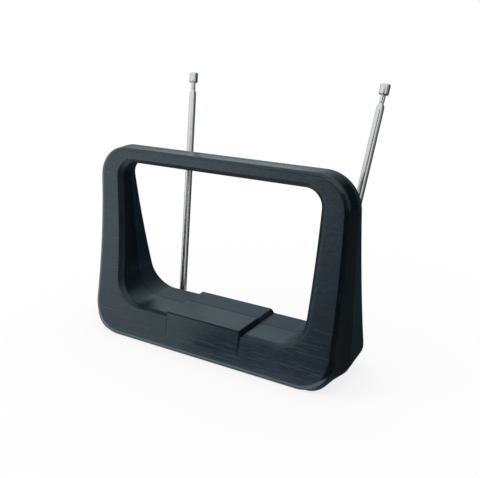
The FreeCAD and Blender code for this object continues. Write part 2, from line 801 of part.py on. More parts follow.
def board_screws():
    length = "board_thickness + board_screw_length - face_clearance"
    screws = []
    for i, (x, y) in enumerate(POSTS):
        shank = cylinder(f"board_shank_{i}", "board_screw_radius", length, (x, y, BOARD_TOP - val(length)))
        head = cylinder(f"board_head_{i}", "board_screw_head_radius", "board_screw_head_height", (x, y, BOARD_TOP))
        screws.append(fuse(f"board_screw_{i}", shank, head))
    piece(group("board_screw_set", screws), "board_screws")


# Transformer core with two holes, and two turns of wire through them
CORE_FRONT = STRIP_FRONT + val(STRIP_WIDTH)
CORE_MID_Z = BOARD_TOP + val("core_height / 2")


def balun_core():
    solid = block("core_body", "core_length", "core_width", "core_height",
                  (-val("core_length / 2"), CORE_FRONT, BOARD_TOP))
    spots = [(s * val("core_hole_spacing / 2"), CORE_MID_Z) for s in SIDES.values()]
    back = CORE_FRONT + val("core_width")
    holes = cylinders("core_hole", "core_hole_radius", CORE_FRONT - PAST, back + PAST, spots)
    piece(cut("core", solid, *holes), "balun_core")


def balun_winding():
    x, wire = val("core_hole_spacing / 2"), val("winding_radius")
    front, back = CORE_FRONT - 2 * wire, CORE_FRONT + val("core_width") + 2 * wire
    turns = []
    for i, z in enumerate((CORE_MID_Z - 1.2 * wire, CORE_MID_Z + 1.2 * wire)):
        path = [Vector(-x, front, z), Vector(x, front, z), Vector(x, back, z), Vector(-x, back, z)]
        turns.append(bent_wire(f"turn_{i}", path, wire, 2 * wire, closed=True))
    piece(group("winding", turns), "balun_winding")


def capacitors():
    y = BOARD_BACK - val("capacitor_setback")
    middle = BOARD_TOP + val("capacitor_lift + capacitor_radius")
    discs = []
    for side, s in SIDES.items():
        x = s * val("capacitor_spread")
        disc = cylinder(f"{side}_disc", "capacitor_radius", "capacitor_thickness", (x, y, middle), "y")
        legs = [cylinder(f"{side}_leg_{i}", "leg_radius", "capacitor_lift + capacitor_radius",
                         (x + t * val("capacitor_radius / 2"), y + val("capacitor_thickness / 2"), BOARD_TOP))
                for i, t in enumerate(SIDES.values())]
        discs.append(fuse(f"{side}_capacitor", disc, *legs))
    piece(group("capacitor_set", discs), "capacitors")


# Lead socket at the rear: a wider shank through the pad, washer and nut, and a free stud for the lead's plug
SOCKET_END_Y = REAR_PAD_Y + val("socket_length")
INSULATOR_Y = SOCKET_FLANGE_Y - val("insulator_stub")


def coax_socket():
    shank = cylinder("socket_shank", SOCKET_SHANK, "pad_depth + socket_washer_thickness + socket_nut_thickness",
                     (0, PAD_INNER_Y, BAR_MID_Z), "y")
    stud = cylinder("socket_stud", "socket_radius", "pad_depth + socket_length", (0, PAD_INNER_Y, BAR_MID_Z), "y")
    flange = hexagon("socket_flange", "socket_flange_flats", "socket_flange_thickness",
                     (0, SOCKET_FLANGE_Y, BAR_MID_Z))
    bore = cylinders("socket_core", "socket_bore", SOCKET_FLANGE_Y - PAST, SOCKET_END_Y + PAST, INLET)
    piece(cut("socket", fuse("socket_blank", shank, stud, flange), *bore), "coax_socket")


def socket_insulator():
    length = str(SOCKET_END_Y - val("insulator_recess") - INSULATOR_Y)
    plug = ring("insulator", "socket_bore - fit_clearance", "contact_radius + fit_clearance", length,
                (0, INSULATOR_Y, BAR_MID_Z))
    piece(plug, "socket_insulator")


def socket_contact():
    tail = INSULATOR_Y - val("contact_tail")
    path = [Vector(0, SOCKET_END_Y - val("contact_recess"), BAR_MID_Z), Vector(0, tail, BAR_MID_Z),
            Vector(0, tail, BOARD_TOP)]
    piece(bent_wire("contact", path, val("contact_radius"), val("contact_bend")), "socket_contact")


def socket_fasteners():
    washer = ring("inlet_washer", "socket_washer_radius", f"{SOCKET_SHANK} + run_clearance",
                  "socket_washer_thickness", (0, REAR_PAD_Y, BAR_MID_Z))
    piece(washer, "socket_washer")
    base = (0, REAR_PAD_Y + val("socket_washer_thickness"), BAR_MID_Z)
    nut = hexagon("inlet_nut_blank", "socket_nut_flats", "socket_nut_thickness", base)
    hole = cylinder("inlet_nut_hole", f"{SOCKET_SHANK} + fit_clearance", "socket_nut_thickness", base, "y")
    piece(cut("inlet_nut", nut, hole), "socket_nut")


# Swivels: pieces are drawn about the fork pin, with the stud along -Y, and then placed
PAD_FACE = -val("pivot_reach")
PAD_INNER = PAD_FACE - val("pad_depth")
FLANGE_FACE = PAD_FACE + val("swivel_washer_thickness + face_clearance")
SPRING_FACE = PAD_INNER - val("lug_thickness + face_clearance + spring_washer_thickness")
NUT_FACE = SPRING_FACE - val("nut_thickness")


def still_frame(s):
    """Placement of what stays on the housing: the pin's centre, unturned."""
    return Placement(Vector(s * PIVOT_X, PIVOT_Y, PIVOT_Z), Rotation())


def swivel_frame(s):
    """Placement of a swivel: turned outwards by the rest spread."""
    return still_frame(s) * Placement(Vector(), Rotation(Vector(0, 1, 0), s * val("rest_spread_angle")))


def rod_frame(s):
    """Placement of a rod: the swivel's, leaned back by the rest lean."""
    return swivel_frame(s) * Placement(Vector(), Rotation(Vector(1, 0, 0), -val("rest_lean_angle")))


def placed(item, label, where):
    item.Placement = where
    piece(item, label)


def swivel_seat(side, s):
    """Washer outside the pad, and inside it the contact lug with its tail towards the board."""
    washer = ring(f"{side}_washer", "flange_radius", "stud_radius + run_clearance", "swivel_washer_thickness",
                  (0, PAD_FACE, 0))
    placed(washer, f"{side}_swivel_washer", still_frame(s))
    lug_y = PAD_INNER - val("lug_thickness")
    eye = ring(f"{side}_lug_eye", "lug_radius", "stud_radius + run_clearance", "lug_thickness", (0, lug_y, 0))
    root = val("lug_radius - lug_overlap")
    tail_x = root if s < 0 else -root - val("lug_tail_length")
    tail = block(f"{side}_lug_tail", "lug_tail_length", "lug_thickness", "lug_tail_width",
                 (tail_x, lug_y, -val("lug_tail_width / 2")))
    placed(fuse(f"{side}_lug", eye, tail), f"{side}_contact_lug", still_frame(s))


def swivel(side, s):
    """Stud, flange and neck with a fork, in one piece."""
    flange = cylinder(f"{side}_flange", "flange_radius", "flange_thickness", (0, FLANGE_FACE, 0), "y")
    neck_length = str(-FLANGE_FACE - val("fork_radius"))
    neck = cylinder(f"{side}_neck", "neck_radius", neck_length, (0, FLANGE_FACE, 0), "y")
    stud_y = NUT_FACE - val("stud_end")
    stud = cylinder(f"{side}_stud", "stud_radius", str(FLANGE_FACE - stud_y), (0, stud_y, 0), "y")
    half = val("fork_width / 2")
    end = cylinder(f"{side}_fork_end", "fork_radius", "fork_width", (-half, 0, 0), "x")
    arm = block(f"{side}_fork_arm", "fork_width", "2 * fork_radius", "2 * fork_radius",
                (-half, -val("2 * fork_radius"), -val("fork_radius")))
    slot_width = "tongue_thickness + 2 * face_clearance"
    slot_depth = "(tube_diameter / 2 + slot_margin)"
    slot = block(f"{side}_slot", slot_width, f"{slot_depth} + 2 * fork_radius", "4 * fork_radius",
                 (-val(slot_width) / 2, -val(slot_depth), -val("2 * fork_radius")))
    eye = cylinder(f"{side}_fork_eye", "pin_radius + fit_clearance", "2 * fork_width", (-2 * half, 0, 0), "x")
    body = fuse(f"{side}_swivel_blank", flange, neck, stud, end, arm)
    placed(cut(f"{side}_fork", body, slot, eye), f"{side}_swivel", swivel_frame(s))


def swivel_fasteners(side, s):
    spring = ring(f"{side}_spring", "spring_washer_radius", "stud_radius + fit_clearance",
                  "spring_washer_thickness", (0, SPRING_FACE, 0))
    placed(spring, f"{side}_spring_washer", swivel_frame(s))
    nut = hexagon(f"{side}_nut_blank", "nut_flats", "nut_thickness", (0, NUT_FACE, 0))
    hole = cylinder(f"{side}_nut_hole", "stud_radius + fit_clearance", "nut_thickness", (0, NUT_FACE, 0), "y")
    placed(cut(f"{side}_nut", nut, hole), f"{side}_swivel_nut", swivel_frame(s))
    half = val("fork_width / 2")
    shank = cylinder(f"{side}_pin_shank", "pin_radius", "fork_width", (-half, 0, 0), "x")
    heads = [cylinder(f"{side}_pin_head_{i}", "pin_head_radius", "pin_head_thickness", (x, 0, 0), "x")
             for i, x in enumerate((-half - val("pin_head_thickness"), half))]
    placed(fuse(f"{side}_pin", shank, *heads), f"{side}_pivot_pin", swivel_frame(s))


def rod_lead(side, s):
    """Wire from the lug's tail to the board."""
    y = PAD_INNER_Y - val("lug_thickness + lead_radius")
    start = s * (PIVOT_X - val("lug_radius - lug_overlap + lug_tail_length / 2"))
    turn = s * val("board_length / 2 + lead_turn_margin")
    end_x, end_y = s * val("board_length / 2 - lead_end_inset"), BOARD_BACK - val("lead_end_setback")
    path = [Vector(start, y, PIVOT_Z), Vector(turn, y, BAR_MID_Z), Vector(end_x, end_y, BAR_MID_Z),
            Vector(end_x, end_y, BOARD_TOP)]
    piece(bent_wire(f"{side}_lead", path, val("lead_radius"), val("lead_bend")), f"{side}_rod_lead")


# Telescopic rods: drawn along +Z from the fork pin, and then placed

def rod_knuckle(side, s):
    """Flat tongue with a round end, a shoulder that carries the tube, and a spigot inside it."""
    half, radius = val("tongue_thickness / 2"), val("tube_diameter / 2")
    end = cylinder(f"{side}_tongue_end", "tube_diameter / 2", "tongue_thickness", (-half, 0, 0), "x")
    tongue = block(f"{side}_tongue", "tongue_thickness", "tube_diameter", "knuckle_length - shoulder_length / 2",
                   (-half, -radius, 0))
    shoulder = cylinder(f"{side}_shoulder", "tube_diameter / 2", "shoulder_length",
                        (0, 0, val("knuckle_length - shoulder_length")))
    spigot = cylinder(f"{side}_spigot", "tube_diameter / 2 - tube_wall - fit_clearance", "spigot_length",
                      (0, 0, val("knuckle_length")))
    eye = cylinder(f"{side}_knuckle_eye", "pin_radius + run_clearance", "2 * tongue_thickness",
                   (-2 * half, 0, 0), "x")
    # The tongue's corners stay inside the tube's round
    round_bar = cylinder(f"{side}_knuckle_round", "tube_diameter / 2", "2 * knuckle_length + spigot_length",
                         (0, 0, -val("knuckle_length")))
    solid = fuse(f"{side}_knuckle_blank", end, tongue, shoulder, spigot)
    body = cut(f"{side}_knuckle", common(f"{side}_knuckle_turned", solid, round_bar), eye)
    placed(body, f"{side}_rod_knuckle", rod_frame(s))


STAGES = ("rod_tube", "middle_tube", "inner_tube", "tip_rod")


def stage_radius(i):
    return f"tube_diameter / 2 - {i} * (tube_wall + tube_gap)"


def stage_bottom(i):
    """Lower end: the first tube sits on the knuckle, the others stand clear of its spigot in steps."""
    return "knuckle_length" if i == 0 else f"knuckle_length + spigot_length + {i} * mouth_step"


def stage_mouth(i):
    return f"rod_length - cap_height - neck_length + {i} * mouth_step"


def telescopic_rod(side, s):
    """Three nested tubes with narrowed mouths and wider lower collars, and a solid tip rod."""
    for i, label in enumerate(STAGES):
        radius, low, high = stage_radius(i), stage_bottom(i), stage_mouth(i)
        collar = f"{radius} + tube_gap - run_clearance"
        foot = f"{low} + collar_length"
        lower_end = [(radius, low)] if i == 0 else [(collar, low), (collar, foot), (radius, foot)]
        if label == "tip_rod":
            top = "rod_length - cap_height / 2"
            section = [("0", low), *lower_end, (radius, top), ("0", top)]
        else:
            bore, neck = f"{radius} - tube_wall", f"{high} - mouth_length"
            throat = f"{bore} - tube_gap + run_clearance"
            section = [(bore, low), *lower_end, (radius, neck), (f"{throat} + mouth_lip", high), (throat, high),
                       (throat, neck), (bore, neck)]
        placed(turned(f"{side}_{label}_body", section), f"{side}_{label}", rod_frame(s))


def tip_cap(side, s):
    """End button with a chamfer at both ends, on a sleeve that hides the tip rod."""
    bore = f"{stage_radius(3)} + fit_clearance"
    low, under = f"{stage_mouth(2)} + face_clearance", "rod_length - cap_height"
    roof = "rod_length - cap_height / 2"
    section = [(bore, low), ("neck_diameter / 2", low), ("neck_diameter / 2", under),
               ("cap_diameter / 2 - cap_edge", under), ("cap_diameter / 2", f"{under} + cap_edge"),
               ("cap_diameter / 2", "rod_length - cap_edge"), ("cap_diameter / 2 - cap_edge", "rod_length"),
               ("0", "rod_length"), ("0", roof), (bore, roof)]
    placed(turned(f"{side}_cap_body", section), f"{side}_tip_cap", rod_frame(s))


# Build, check and write

def check():
    """Stops the build if any object failed or any sub-part is empty or unsound."""
    doc.recompute()
    for item in doc.Objects:
        if any(word in state for state in item.State for word in ("Invalid", "Error")):
            raise RuntimeError(f"{item.Name} failed: {item.State}")
    for item in PIECES:
        if item.Shape.isNull() or not item.Shape.isValid() or not item.Shape.Solids:
            raise RuntimeError(f"{item.Label} has no sound solid")


def write():
    os.makedirs("parts", exist_ok=True)
    for item in PIECES:
        item.Shape.exportStep(f"parts/{item.Label}.step")
        print(item.Label, len(item.Shape.Solids), round(item.Shape.Volume, 1))


front_bezel()
front_housing()
rear_housing()
piece(mat_prism("foot_mat", "0"), "base_mat")
ballast_plate()
housing_screws()
uhf_loop()
circuit_board()
board_screws()
balun_core()
balun_winding()
capacitors()
coax_socket()
socket_insulator()
socket_contact()
socket_fasteners()
for side_name, sign in SIDES.items():
    swivel_seat(side_name, sign)
    swivel(side_name, sign)
    swivel_fasteners(side_name, sign)
    rod_lead(side_name, sign)
    rod_knuckle(side_name, sign)
    telescopic_rod(side_name, sign)
    tip_cap(side_name, sign)
check()
write()
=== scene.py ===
"""Looks of an indoor television antenna: a grained front plate, moulded shells and chromed telescopic rods.

Metres. +X to the right, +Y to the back, +Z up. The origin is the middle of the base, on the floor.
"""

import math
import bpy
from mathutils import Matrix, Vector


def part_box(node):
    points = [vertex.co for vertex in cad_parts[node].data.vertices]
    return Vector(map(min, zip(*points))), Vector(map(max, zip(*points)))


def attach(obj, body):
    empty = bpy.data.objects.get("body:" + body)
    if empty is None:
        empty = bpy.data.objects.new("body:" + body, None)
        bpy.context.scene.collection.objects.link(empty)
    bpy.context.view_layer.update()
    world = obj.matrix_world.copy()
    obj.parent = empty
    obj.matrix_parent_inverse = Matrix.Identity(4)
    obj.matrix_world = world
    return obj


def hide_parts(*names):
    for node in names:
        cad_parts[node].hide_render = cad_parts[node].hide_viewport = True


bl_info = {
    "name": "Indoor Television Antenna",
    "version": (1, 0, 0),
    "blender": (4, 5, 0),
    "location": "3D View > Sidebar > Antenna",
    "description": "Dresses the antenna's solids with its surfaces, finishes and studio",
    "category": "Object",
}

import bpy
import numpy as np
from bpy.props import FloatProperty, FloatVectorProperty, PointerProperty
from mathutils import Vector

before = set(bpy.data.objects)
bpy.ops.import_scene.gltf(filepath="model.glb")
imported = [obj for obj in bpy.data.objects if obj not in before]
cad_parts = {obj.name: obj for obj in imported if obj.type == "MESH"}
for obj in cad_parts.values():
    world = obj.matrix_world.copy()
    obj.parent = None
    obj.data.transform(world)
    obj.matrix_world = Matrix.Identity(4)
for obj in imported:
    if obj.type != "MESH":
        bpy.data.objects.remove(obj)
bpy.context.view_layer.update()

# Boxes of the solids that set the surfaces' sizes
PLATE_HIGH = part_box("front_bezel")[1]
SHELL_LOW, SHELL_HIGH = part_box("front_housing")
REAR_LOW, REAR_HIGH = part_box("rear_housing")

SIDES = {"left": -1.0, "right": 1.0}
ROUND = 96  # points round a turned piece
AXIS_SHARE = 0.02  # a closed end of a turned piece starts at this share of its radius
CURVE_PARTS = 4  # faces across a softened edge
LONGEST_CURVE = 0.45  # most of the way to the next row that a softened edge takes
SHARP_ANGLE = math.radians(32)  # edges that turn by more than this stay sharp
FACE_ROWS, SHELL_ROWS = 5, 7  # rows across the plate's face, and from the plate to the seam
FACE, RIM, WINDOW = range(3)  # finishes of the plate's faces
# The saddle's third finish is black painted shade: on its flanks, on the lower half of its front edge, and in a line
# at the seam
SHELL, PLATE, PAINTED_SHADE = range(3)  # finishes of the saddle's faces
SIDEWAYS = 0.25  # faces of the saddle that lean sideways by more than this are its flanks
SADDLE_SHARE = 0.8  # depth of the saddle's front part, as a share of the rest's
SEAM_TOUCH = 0.00002  # gap between the saddle's parts at the seam
STAGES = (("rod_tube", "rod"), ("middle_tube", "middle"), ("inner_tube", "inner"))  # tubes and their bodies
LIP_EDGE, FOOT_EDGE, BUTTON_EDGE, MOUTH_EDGE = 0.0001, 0.0002, 0.0003, 0.0006  # softened edges of the rods

# Cards that only reflections show: name, turn from the front in degrees, radius or height in metres, level
FLOOR_CARDS = (
    ("near_floor_flag", -29, 5, 0.06, 0.28, 0.05),
    ("front_floor_flag", -29, 5, 0.28, 0.45, 0.5),
    ("front_right_floor_flag", 5, 60, 0.13, 2.9, 0.02),
    ("right_floor_flag", 60, 145, 0.101, 2.9, 0.05),
    ("rear_floor_flag", 145, 178, 0.05, 2.9, 0.02),
    ("rear_left_floor_flag", 178, 262, 0.1, 2.9, 0.05),
    ("far_floor_card", -64, -17, 0.45, 0.79, 2.0),
)
WALL_CARDS = (
    ("front_flag", -24, 8, 0.001, 0.31, 0.06),
    ("front_right_flag", 8, 42, 0.001, 0.46, 0.05),
    ("right_flag", 72, 115, 0.001, 0.9, 0.28),
    ("rear_right_flag", 115, 150, 0.001, 0.9, 0.02),
)
COOL_WALL_CARDS = (
    ("rear_flag", 150, 163, 0.001, 0.9, 0.25),
    ("rear_middle_flag", 163, 180, 0.001, 0.9, 0.35),
    ("rear_left_flag", 180, 203, 0.001, 0.9, 0.55),
    ("left_rear_flag", 203, 240, 0.001, 0.345, 0.3),
    ("left_rear_card", 203, 240, 0.345, 0.9, 1.5),
)
GLOW_CARD = ("front_glow", -0.115, 0.115, 0.0002, 0.012, 2.0)  # name, ends across, gaps to the base, level
CARD_STEPS, CARD_ROWS = 33, 3  # points along a card and across it
WALL_RADIUS = 0.8
FLOOR_LIFT, GLOW_LIFT = 0.0006, 0.0007  # cards above the floor
WHITE, COOL = (1.0, 1.0, 1.0, 1.0), (0.78, 0.95, 1.0, 1.0)

# Soft boxes: name, place, size and the setting that holds the power
SOFT_BOXES = (
    ("key_box", (-0.75, -0.55, 0.75), 0.7, "key"),
    ("overhead_box", (0.0, 0.15, 1.1), 0.8, "overhead"),
)
BOX_AIM = (0.0, 0.0, 0.07)
FLOOR_ROUND, FLOOR_RADII = 64, (0.02, 0.5, 3.0)
FLOOR_FADE = (0.12, 0.36, 0.8, 1.0)  # radii where the floor turns white to the eye, and shares of white


# Settings

def number(name, description, default, **more):
    return FloatProperty(name=name, description=description, default=default, **more)


def length(name, description, default):
    return number(name, description, default, unit="LENGTH", precision=5)


def angle(name, description, degrees):
    return number(name, description, math.radians(degrees), unit="ROTATION")


def colour(name, description, default):
    return FloatVectorProperty(name=name, description=description, default=default, subtype="COLOR", size=3,
                               min=0.0, max=1.0)


class AntennaFrame(bpy.types.PropertyGroup):
    """Sizes of the loop frame: outline, profile, plate and saddle."""

    half_width: length("Half width", "Middle of the frame to the side of its plate", PLATE_HIGH.x)
    base: length("Base height", "Underside of the shells above the floor", SHELL_LOW.z)
    top: length("Top height", "Top of the frame above the floor", SHELL_HIGH.z)
    seam: length("Seam", "Depth of the plane where the two shells meet", REAR_LOW.y)
    half_base: length("Half base depth", "Middle of the base to its front or rear edge", REAR_HIGH.y)
    corner: length("Corner radius", "Outer corners of the plate, and upper corners of the shells", 0.025)
    low_corner_front: length("Front low corners", "Lower corners of the front shell at the plate", 0.0185)
    low_corner_seam: length("Seam low corners", "Lower corners of the shells at their seam", 0.014)
    flare: length("Flare", "How far the shells stand out beyond the plate at each side", SHELL_HIGH.x - PLATE_HIGH.x)
    flare_run: length("Flare run", "Length ahead of the seam in which the flare grows", 0.014)
    top_bar: length("Top bar", "Height of the top bar", 0.0114)
    bottom_bar: length("Bottom bar", "Height of the bottom bar", 0.0262)
    side_bar_top: length("Side bar at its head", "Width of a side bar at the window's head", 0.0202)
    side_bar_bottom: length("Side bar at its foot", "Width of a side bar at the window's sill", 0.0257)
    head_radius: length("Window head radius", "Upper corners of the window", 0.0125)
    sill_radius: length("Window sill radius", "Lower corners of the window", 0.021)
    front_lean: length("Front lean", "How far the front leans back from base to top", 0.0217)
    front_hollow: length("Front hollow", "Depth of the front's hollow at mid-height", 0.00495)
    wall: length("Wall", "Thickness of the shells", 0.0022)
    plate: length("Plate thickness", "Thickness of the front plate", 0.0034)
    plate_gap: length("Plate gap", "Gap between the plate and the front shell", 0.00012)
    rim_width: length("Rim bevel width", "Outer bevel, along the face at the sides and the base", 0.0032)
    rim_top: length("Top rim bevel width", "Outer bevel, along the face at the top", 0.0016)
    rim_depth: length("Rim bevel depth", "Outer bevel, along the side", 0.00155)
    window_width: length("Window bevel width", "Window bevel, along the face at the sides and the head", 0.0036)
    sill_width: length("Sill bevel width", "Window bevel, along the face at the sill", 0.0014)
    window_depth: length("Window bevel depth", "Window bevel, along the side", 0.003)
    groove: length("Seam groove", "Chamfer of each shell's lip at the seam", 0.00035)
    edge: length("Moulded edge", "Radius of the moulded edges", 0.0004)
    saddle_width: length("Saddle width", "Width of the saddle's top", 0.065)
    saddle_rise: length("Saddle rise", "Height of the saddle over the bar", 0.0033)
    saddle_proud: length("Saddle stand", "How far the saddle stands in front of the plate at its top", 0.0017)
    saddle_drop: length("Saddle drop", "Height in which the saddle fades into the plate", 0.0205)
    saddle_flank: number("Saddle flank", "Widening of the flanks per depth", 0.6)
    saddle_edge: length("Saddle edge", "Radius of the saddle's edges", 0.0008)


class AntennaRods(bpy.types.PropertyGroup):
    """Sizes of the telescopic rods."""

    spread: angle("Spread", "Outward turn of each rod at rest", 5.26)
    lean: angle("Lean", "Backward lean of each rod at rest", 14.14)
    rod: length("Rod length", "Fork pin to the end of the collapsed rod", 0.1935)
    knuckle: length("Knuckle length", "Fork pin to the lower end of the first tube", 0.0064)
    spigot: length("Spigot length", "Knuckle's spigot inside the first tube", 0.006)
    radius: length("Tube radius", "Radius of the first tube", 0.003)
    wall: length("Tube wall", "Thickness of each tube", 0.0004)
    gap: length("Tube gap", "Gap between nested tubes", 0.00015)
    run: length("Running clearance", "Clearance of collars and mouths", 0.00005)
    mouth: length("Mouth length", "Length of each narrowed mouth", 0.0032)
    mouth_lip: length("Mouth lip", "Thickness of the metal at the mouth", 0.00025)
    step: length("Mouth step", "Each mouth above the one around it", 0.001)
    collar: length("Collar length", "Wider lower end of each inner tube", 0.006)
    cap_radius: length("Cap radius", "Radius of the end button", 0.0038)
    cap_height: length("Cap height", "Height of the end button", 0.0083)
    cap_edge: length("Cap edge", "Chamfer of the end button", 0.0007)
    neck_radius: length("Neck radius", "Sleeve under the end button", 0.00195)
    neck_length: length("Neck length", "Sleeve from the mouths to the button", 0.0079)
    fit: length("Fit", "Clearance of the sleeve on the tip rod", 0.00002)
    face: length("Face clearance", "Sleeve above the innermost mouth", 0.0001)


class AntennaColours(bpy.types.PropertyGroup):
    """Colours of the finishes."""

    plate: colour("Plate", "Charcoal of the front plate", (0.0035, 0.0095, 0.0165))
    scratch: colour("Scratch", "Lighter lines in the plate's grain", (0.060, 0.075, 0.085))
    rim: colour("Rim", "Smooth bevels of the front plate", (0.002, 0.004, 0.006))
    shell: colour("Shell", "Charcoal of the shells", (0.0015, 0.005, 0.008))
    sheen: colour("Sheen", "Tint of the light that the plastic reflects", (0.74, 0.93, 1.0))
    mat: colour("Mat", "Rubber of the base mat", (0.018, 0.018, 0.019))
    chrome: colour("Chrome", "Plating of the rods", (0.66, 0.67, 0.67))
    nickel: colour("Nickel", "Plating of the swivels and the socket", (0.56, 0.56, 0.55))
    steel: colour("Steel", "Screws and ballast", (0.42, 0.42, 0.43))
    aluminium: colour("Aluminium", "Strip loop", (0.66, 0.67, 0.68))
    board: colour("Board", "Lacquer of the circuit board", (0.02, 0.16, 0.07))
    ferrite: colour("Ferrite", "Transformer core", (0.045, 0.042, 0.042))
    copper: colour("Copper", "Enamelled wire", (0.55, 0.20, 0.07))
    capacitor: colour("Capacitor", "Dipped capacitors", (0.42, 0.20, 0.05))
    insulator: colour("Insulator", "Core of the socket", (0.78, 0.76, 0.70))
    brass: colour("Brass", "Contacts and lugs", (0.62, 0.42, 0.16))
    washer: colour("Washer", "Fibre washers", (0.030, 0.029, 0.028))
    lead: colour("Lead", "Sleeve of the wires", (0.015, 0.015, 0.016))


class AntennaStudio(bpy.types.PropertyGroup):
    """Camera and light."""

    target: FloatVectorProperty(name="Target", description="Point that the camera looks at", unit="LENGTH",
                                subtype="XYZ", default=(0.02338, -0.0085, 0.0941))
    eye: FloatVectorProperty(name="Eye", description="Place of the camera", unit="LENGTH", subtype="XYZ",
                             default=(0.27766, -0.41322, 0.25125))
    lens: number("Lens", "Focal length in millimetres", 52.79)
    floor: colour("Floor", "Colour of the floor", (0.86, 0.86, 0.86))
    ambient: number("Ambient", "Level of the light from all round", 0.8)
    key: number("Key", "Power of the soft box on the left", 3.0, unit="POWER")
    overhead: number("Overhead", "Power of the soft box above", 3.0, unit="POWER")


# Surfaces: arrays of rows, each row an array of points

def rounded_outline(low_half, low, high_half, high, low_radius, high_radius, bend=16, run=24):
    """Points and outward normals of an upright four-sided outline with rounded corners, as (x, z).

    Each corner is an arc of its radius, tangent to both sides: its centre lies inside the corner by the radius
    times the sum of both sides' normals over one plus their product. Straight runs join the arcs.
    """
    corners = np.array([[-low_half, low], [low_half, low], [high_half, high], [-high_half, high]])
    radii = np.array([low_radius, low_radius, high_radius, high_radius])
    ahead = np.roll(corners, -1, 0) - corners
    ahead /= np.linalg.norm(ahead, axis=1)[:, None]
    leaving = np.stack([ahead[:, 1], -ahead[:, 0]], 1)
    coming = np.roll(leaving, 1, 0)
    along = np.sum(coming * leaving, 1)
    centres = corners - (radii / (1 + along))[:, None] * (coming + leaving)
    turn = np.arctan2(coming[:, 1], coming[:, 0])[:, None] + np.arccos(along)[:, None] * np.linspace(0, 1, bend + 1)
    normals = np.stack([np.cos(turn), np.sin(turn)], -1)
    arcs = centres[:, None] + radii[:, None, None] * normals
    share = (np.arange(1, run) / run)[:, None]
    runs = arcs[:, -1:] * (1 - share) + np.roll(arcs[:, :1], -1, 0) * share
    sides = np.repeat(leaving[:, None], run - 1, 1)
    return np.concatenate([arcs, runs], 1).reshape(-1, 2), np.concatenate([normals, sides], 1).reshape(-1, 2)


def soften(rows, radii, closed):
    """Rows with each marked one replaced by a short curve.

    The curve is quadratic: it starts at the radius from the corner towards the row before, is drawn to the
    corner, and ends at the radius towards the row after. A radius of 0 keeps the row.
    """
    made, count = [], len(rows)
    for i, radius in enumerate(radii):
        corner = rows[i]
        if radius == 0 or (not closed and i in (0, count - 1)):
            made.append(corner)
            continue
        ends = []
        for other in (rows[i - 1], rows[(i + 1) % count]):
            gap = np.linalg.norm((other - corner)[:, :3], axis=1)[:, None]
            ends.append(corner + (other - corner) * np.minimum(radius / np.maximum(gap, 1e-9), LONGEST_CURVE))
        for t in np.linspace(0, 1, CURVE_PARTS + 1):
            made.append((1 - t) ** 2 * ends[0] + 2 * t * (1 - t) * corner + t ** 2 * ends[1])
    return np.array(made)


def soften_bands(bands, radii):
    """The band after each row once the rows are softened. A curve is shared by the bands on its two sides."""
    made, half = [], CURVE_PARTS // 2
    for i, radius in enumerate(radii):
        made += [bands[i - 1]] * half + [bands[i]] * (half + 1) if radius else [bands[i]]
    return made


def grid_faces(rows, columns, wrap_rows, wrap_columns):
    """Four-sided faces between neighbouring points of a grid that may close on itself either way."""
    r = np.arange(rows if wrap_rows else rows - 1)[:, None]
    c = np.arange(columns if wrap_columns else columns - 1)[None, :]
    r_next, c_next = (r + 1) % rows, (c + 1) % columns
    corners = [r * columns + c, r * columns + c_next, r_next * columns + c_next, r_next * columns + c]
    return np.stack(np.broadcast_arrays(*corners), -1).reshape(-1, 4)


def closed_surface(rows, wrap_rows):
    """Points and faces of a surface whose rows are rings: joined end to end, or capped at both ends."""
    count, columns = rows.shape[:2]
    faces = grid_faces(count, columns, wrap_rows, True).tolist()
    if not wrap_rows:
        first = np.arange(columns)
        faces += [first[::-1].tolist(), (first + (count - 1) * columns).tolist()]
    return rows.reshape(-1, rows.shape[2]), faces


def signed_volume(points, faces):
    """Sum over the faces' triangles of a third of their point products, which is negative inside out."""
    fans = np.array([(f[0], b, c) for f in faces for b, c in zip(f[1:-1], f[2:])])
    a, b, c = (points[fans[:, i]] for i in range(3))
    return np.sum(np.cross(a, b) * c) / 6


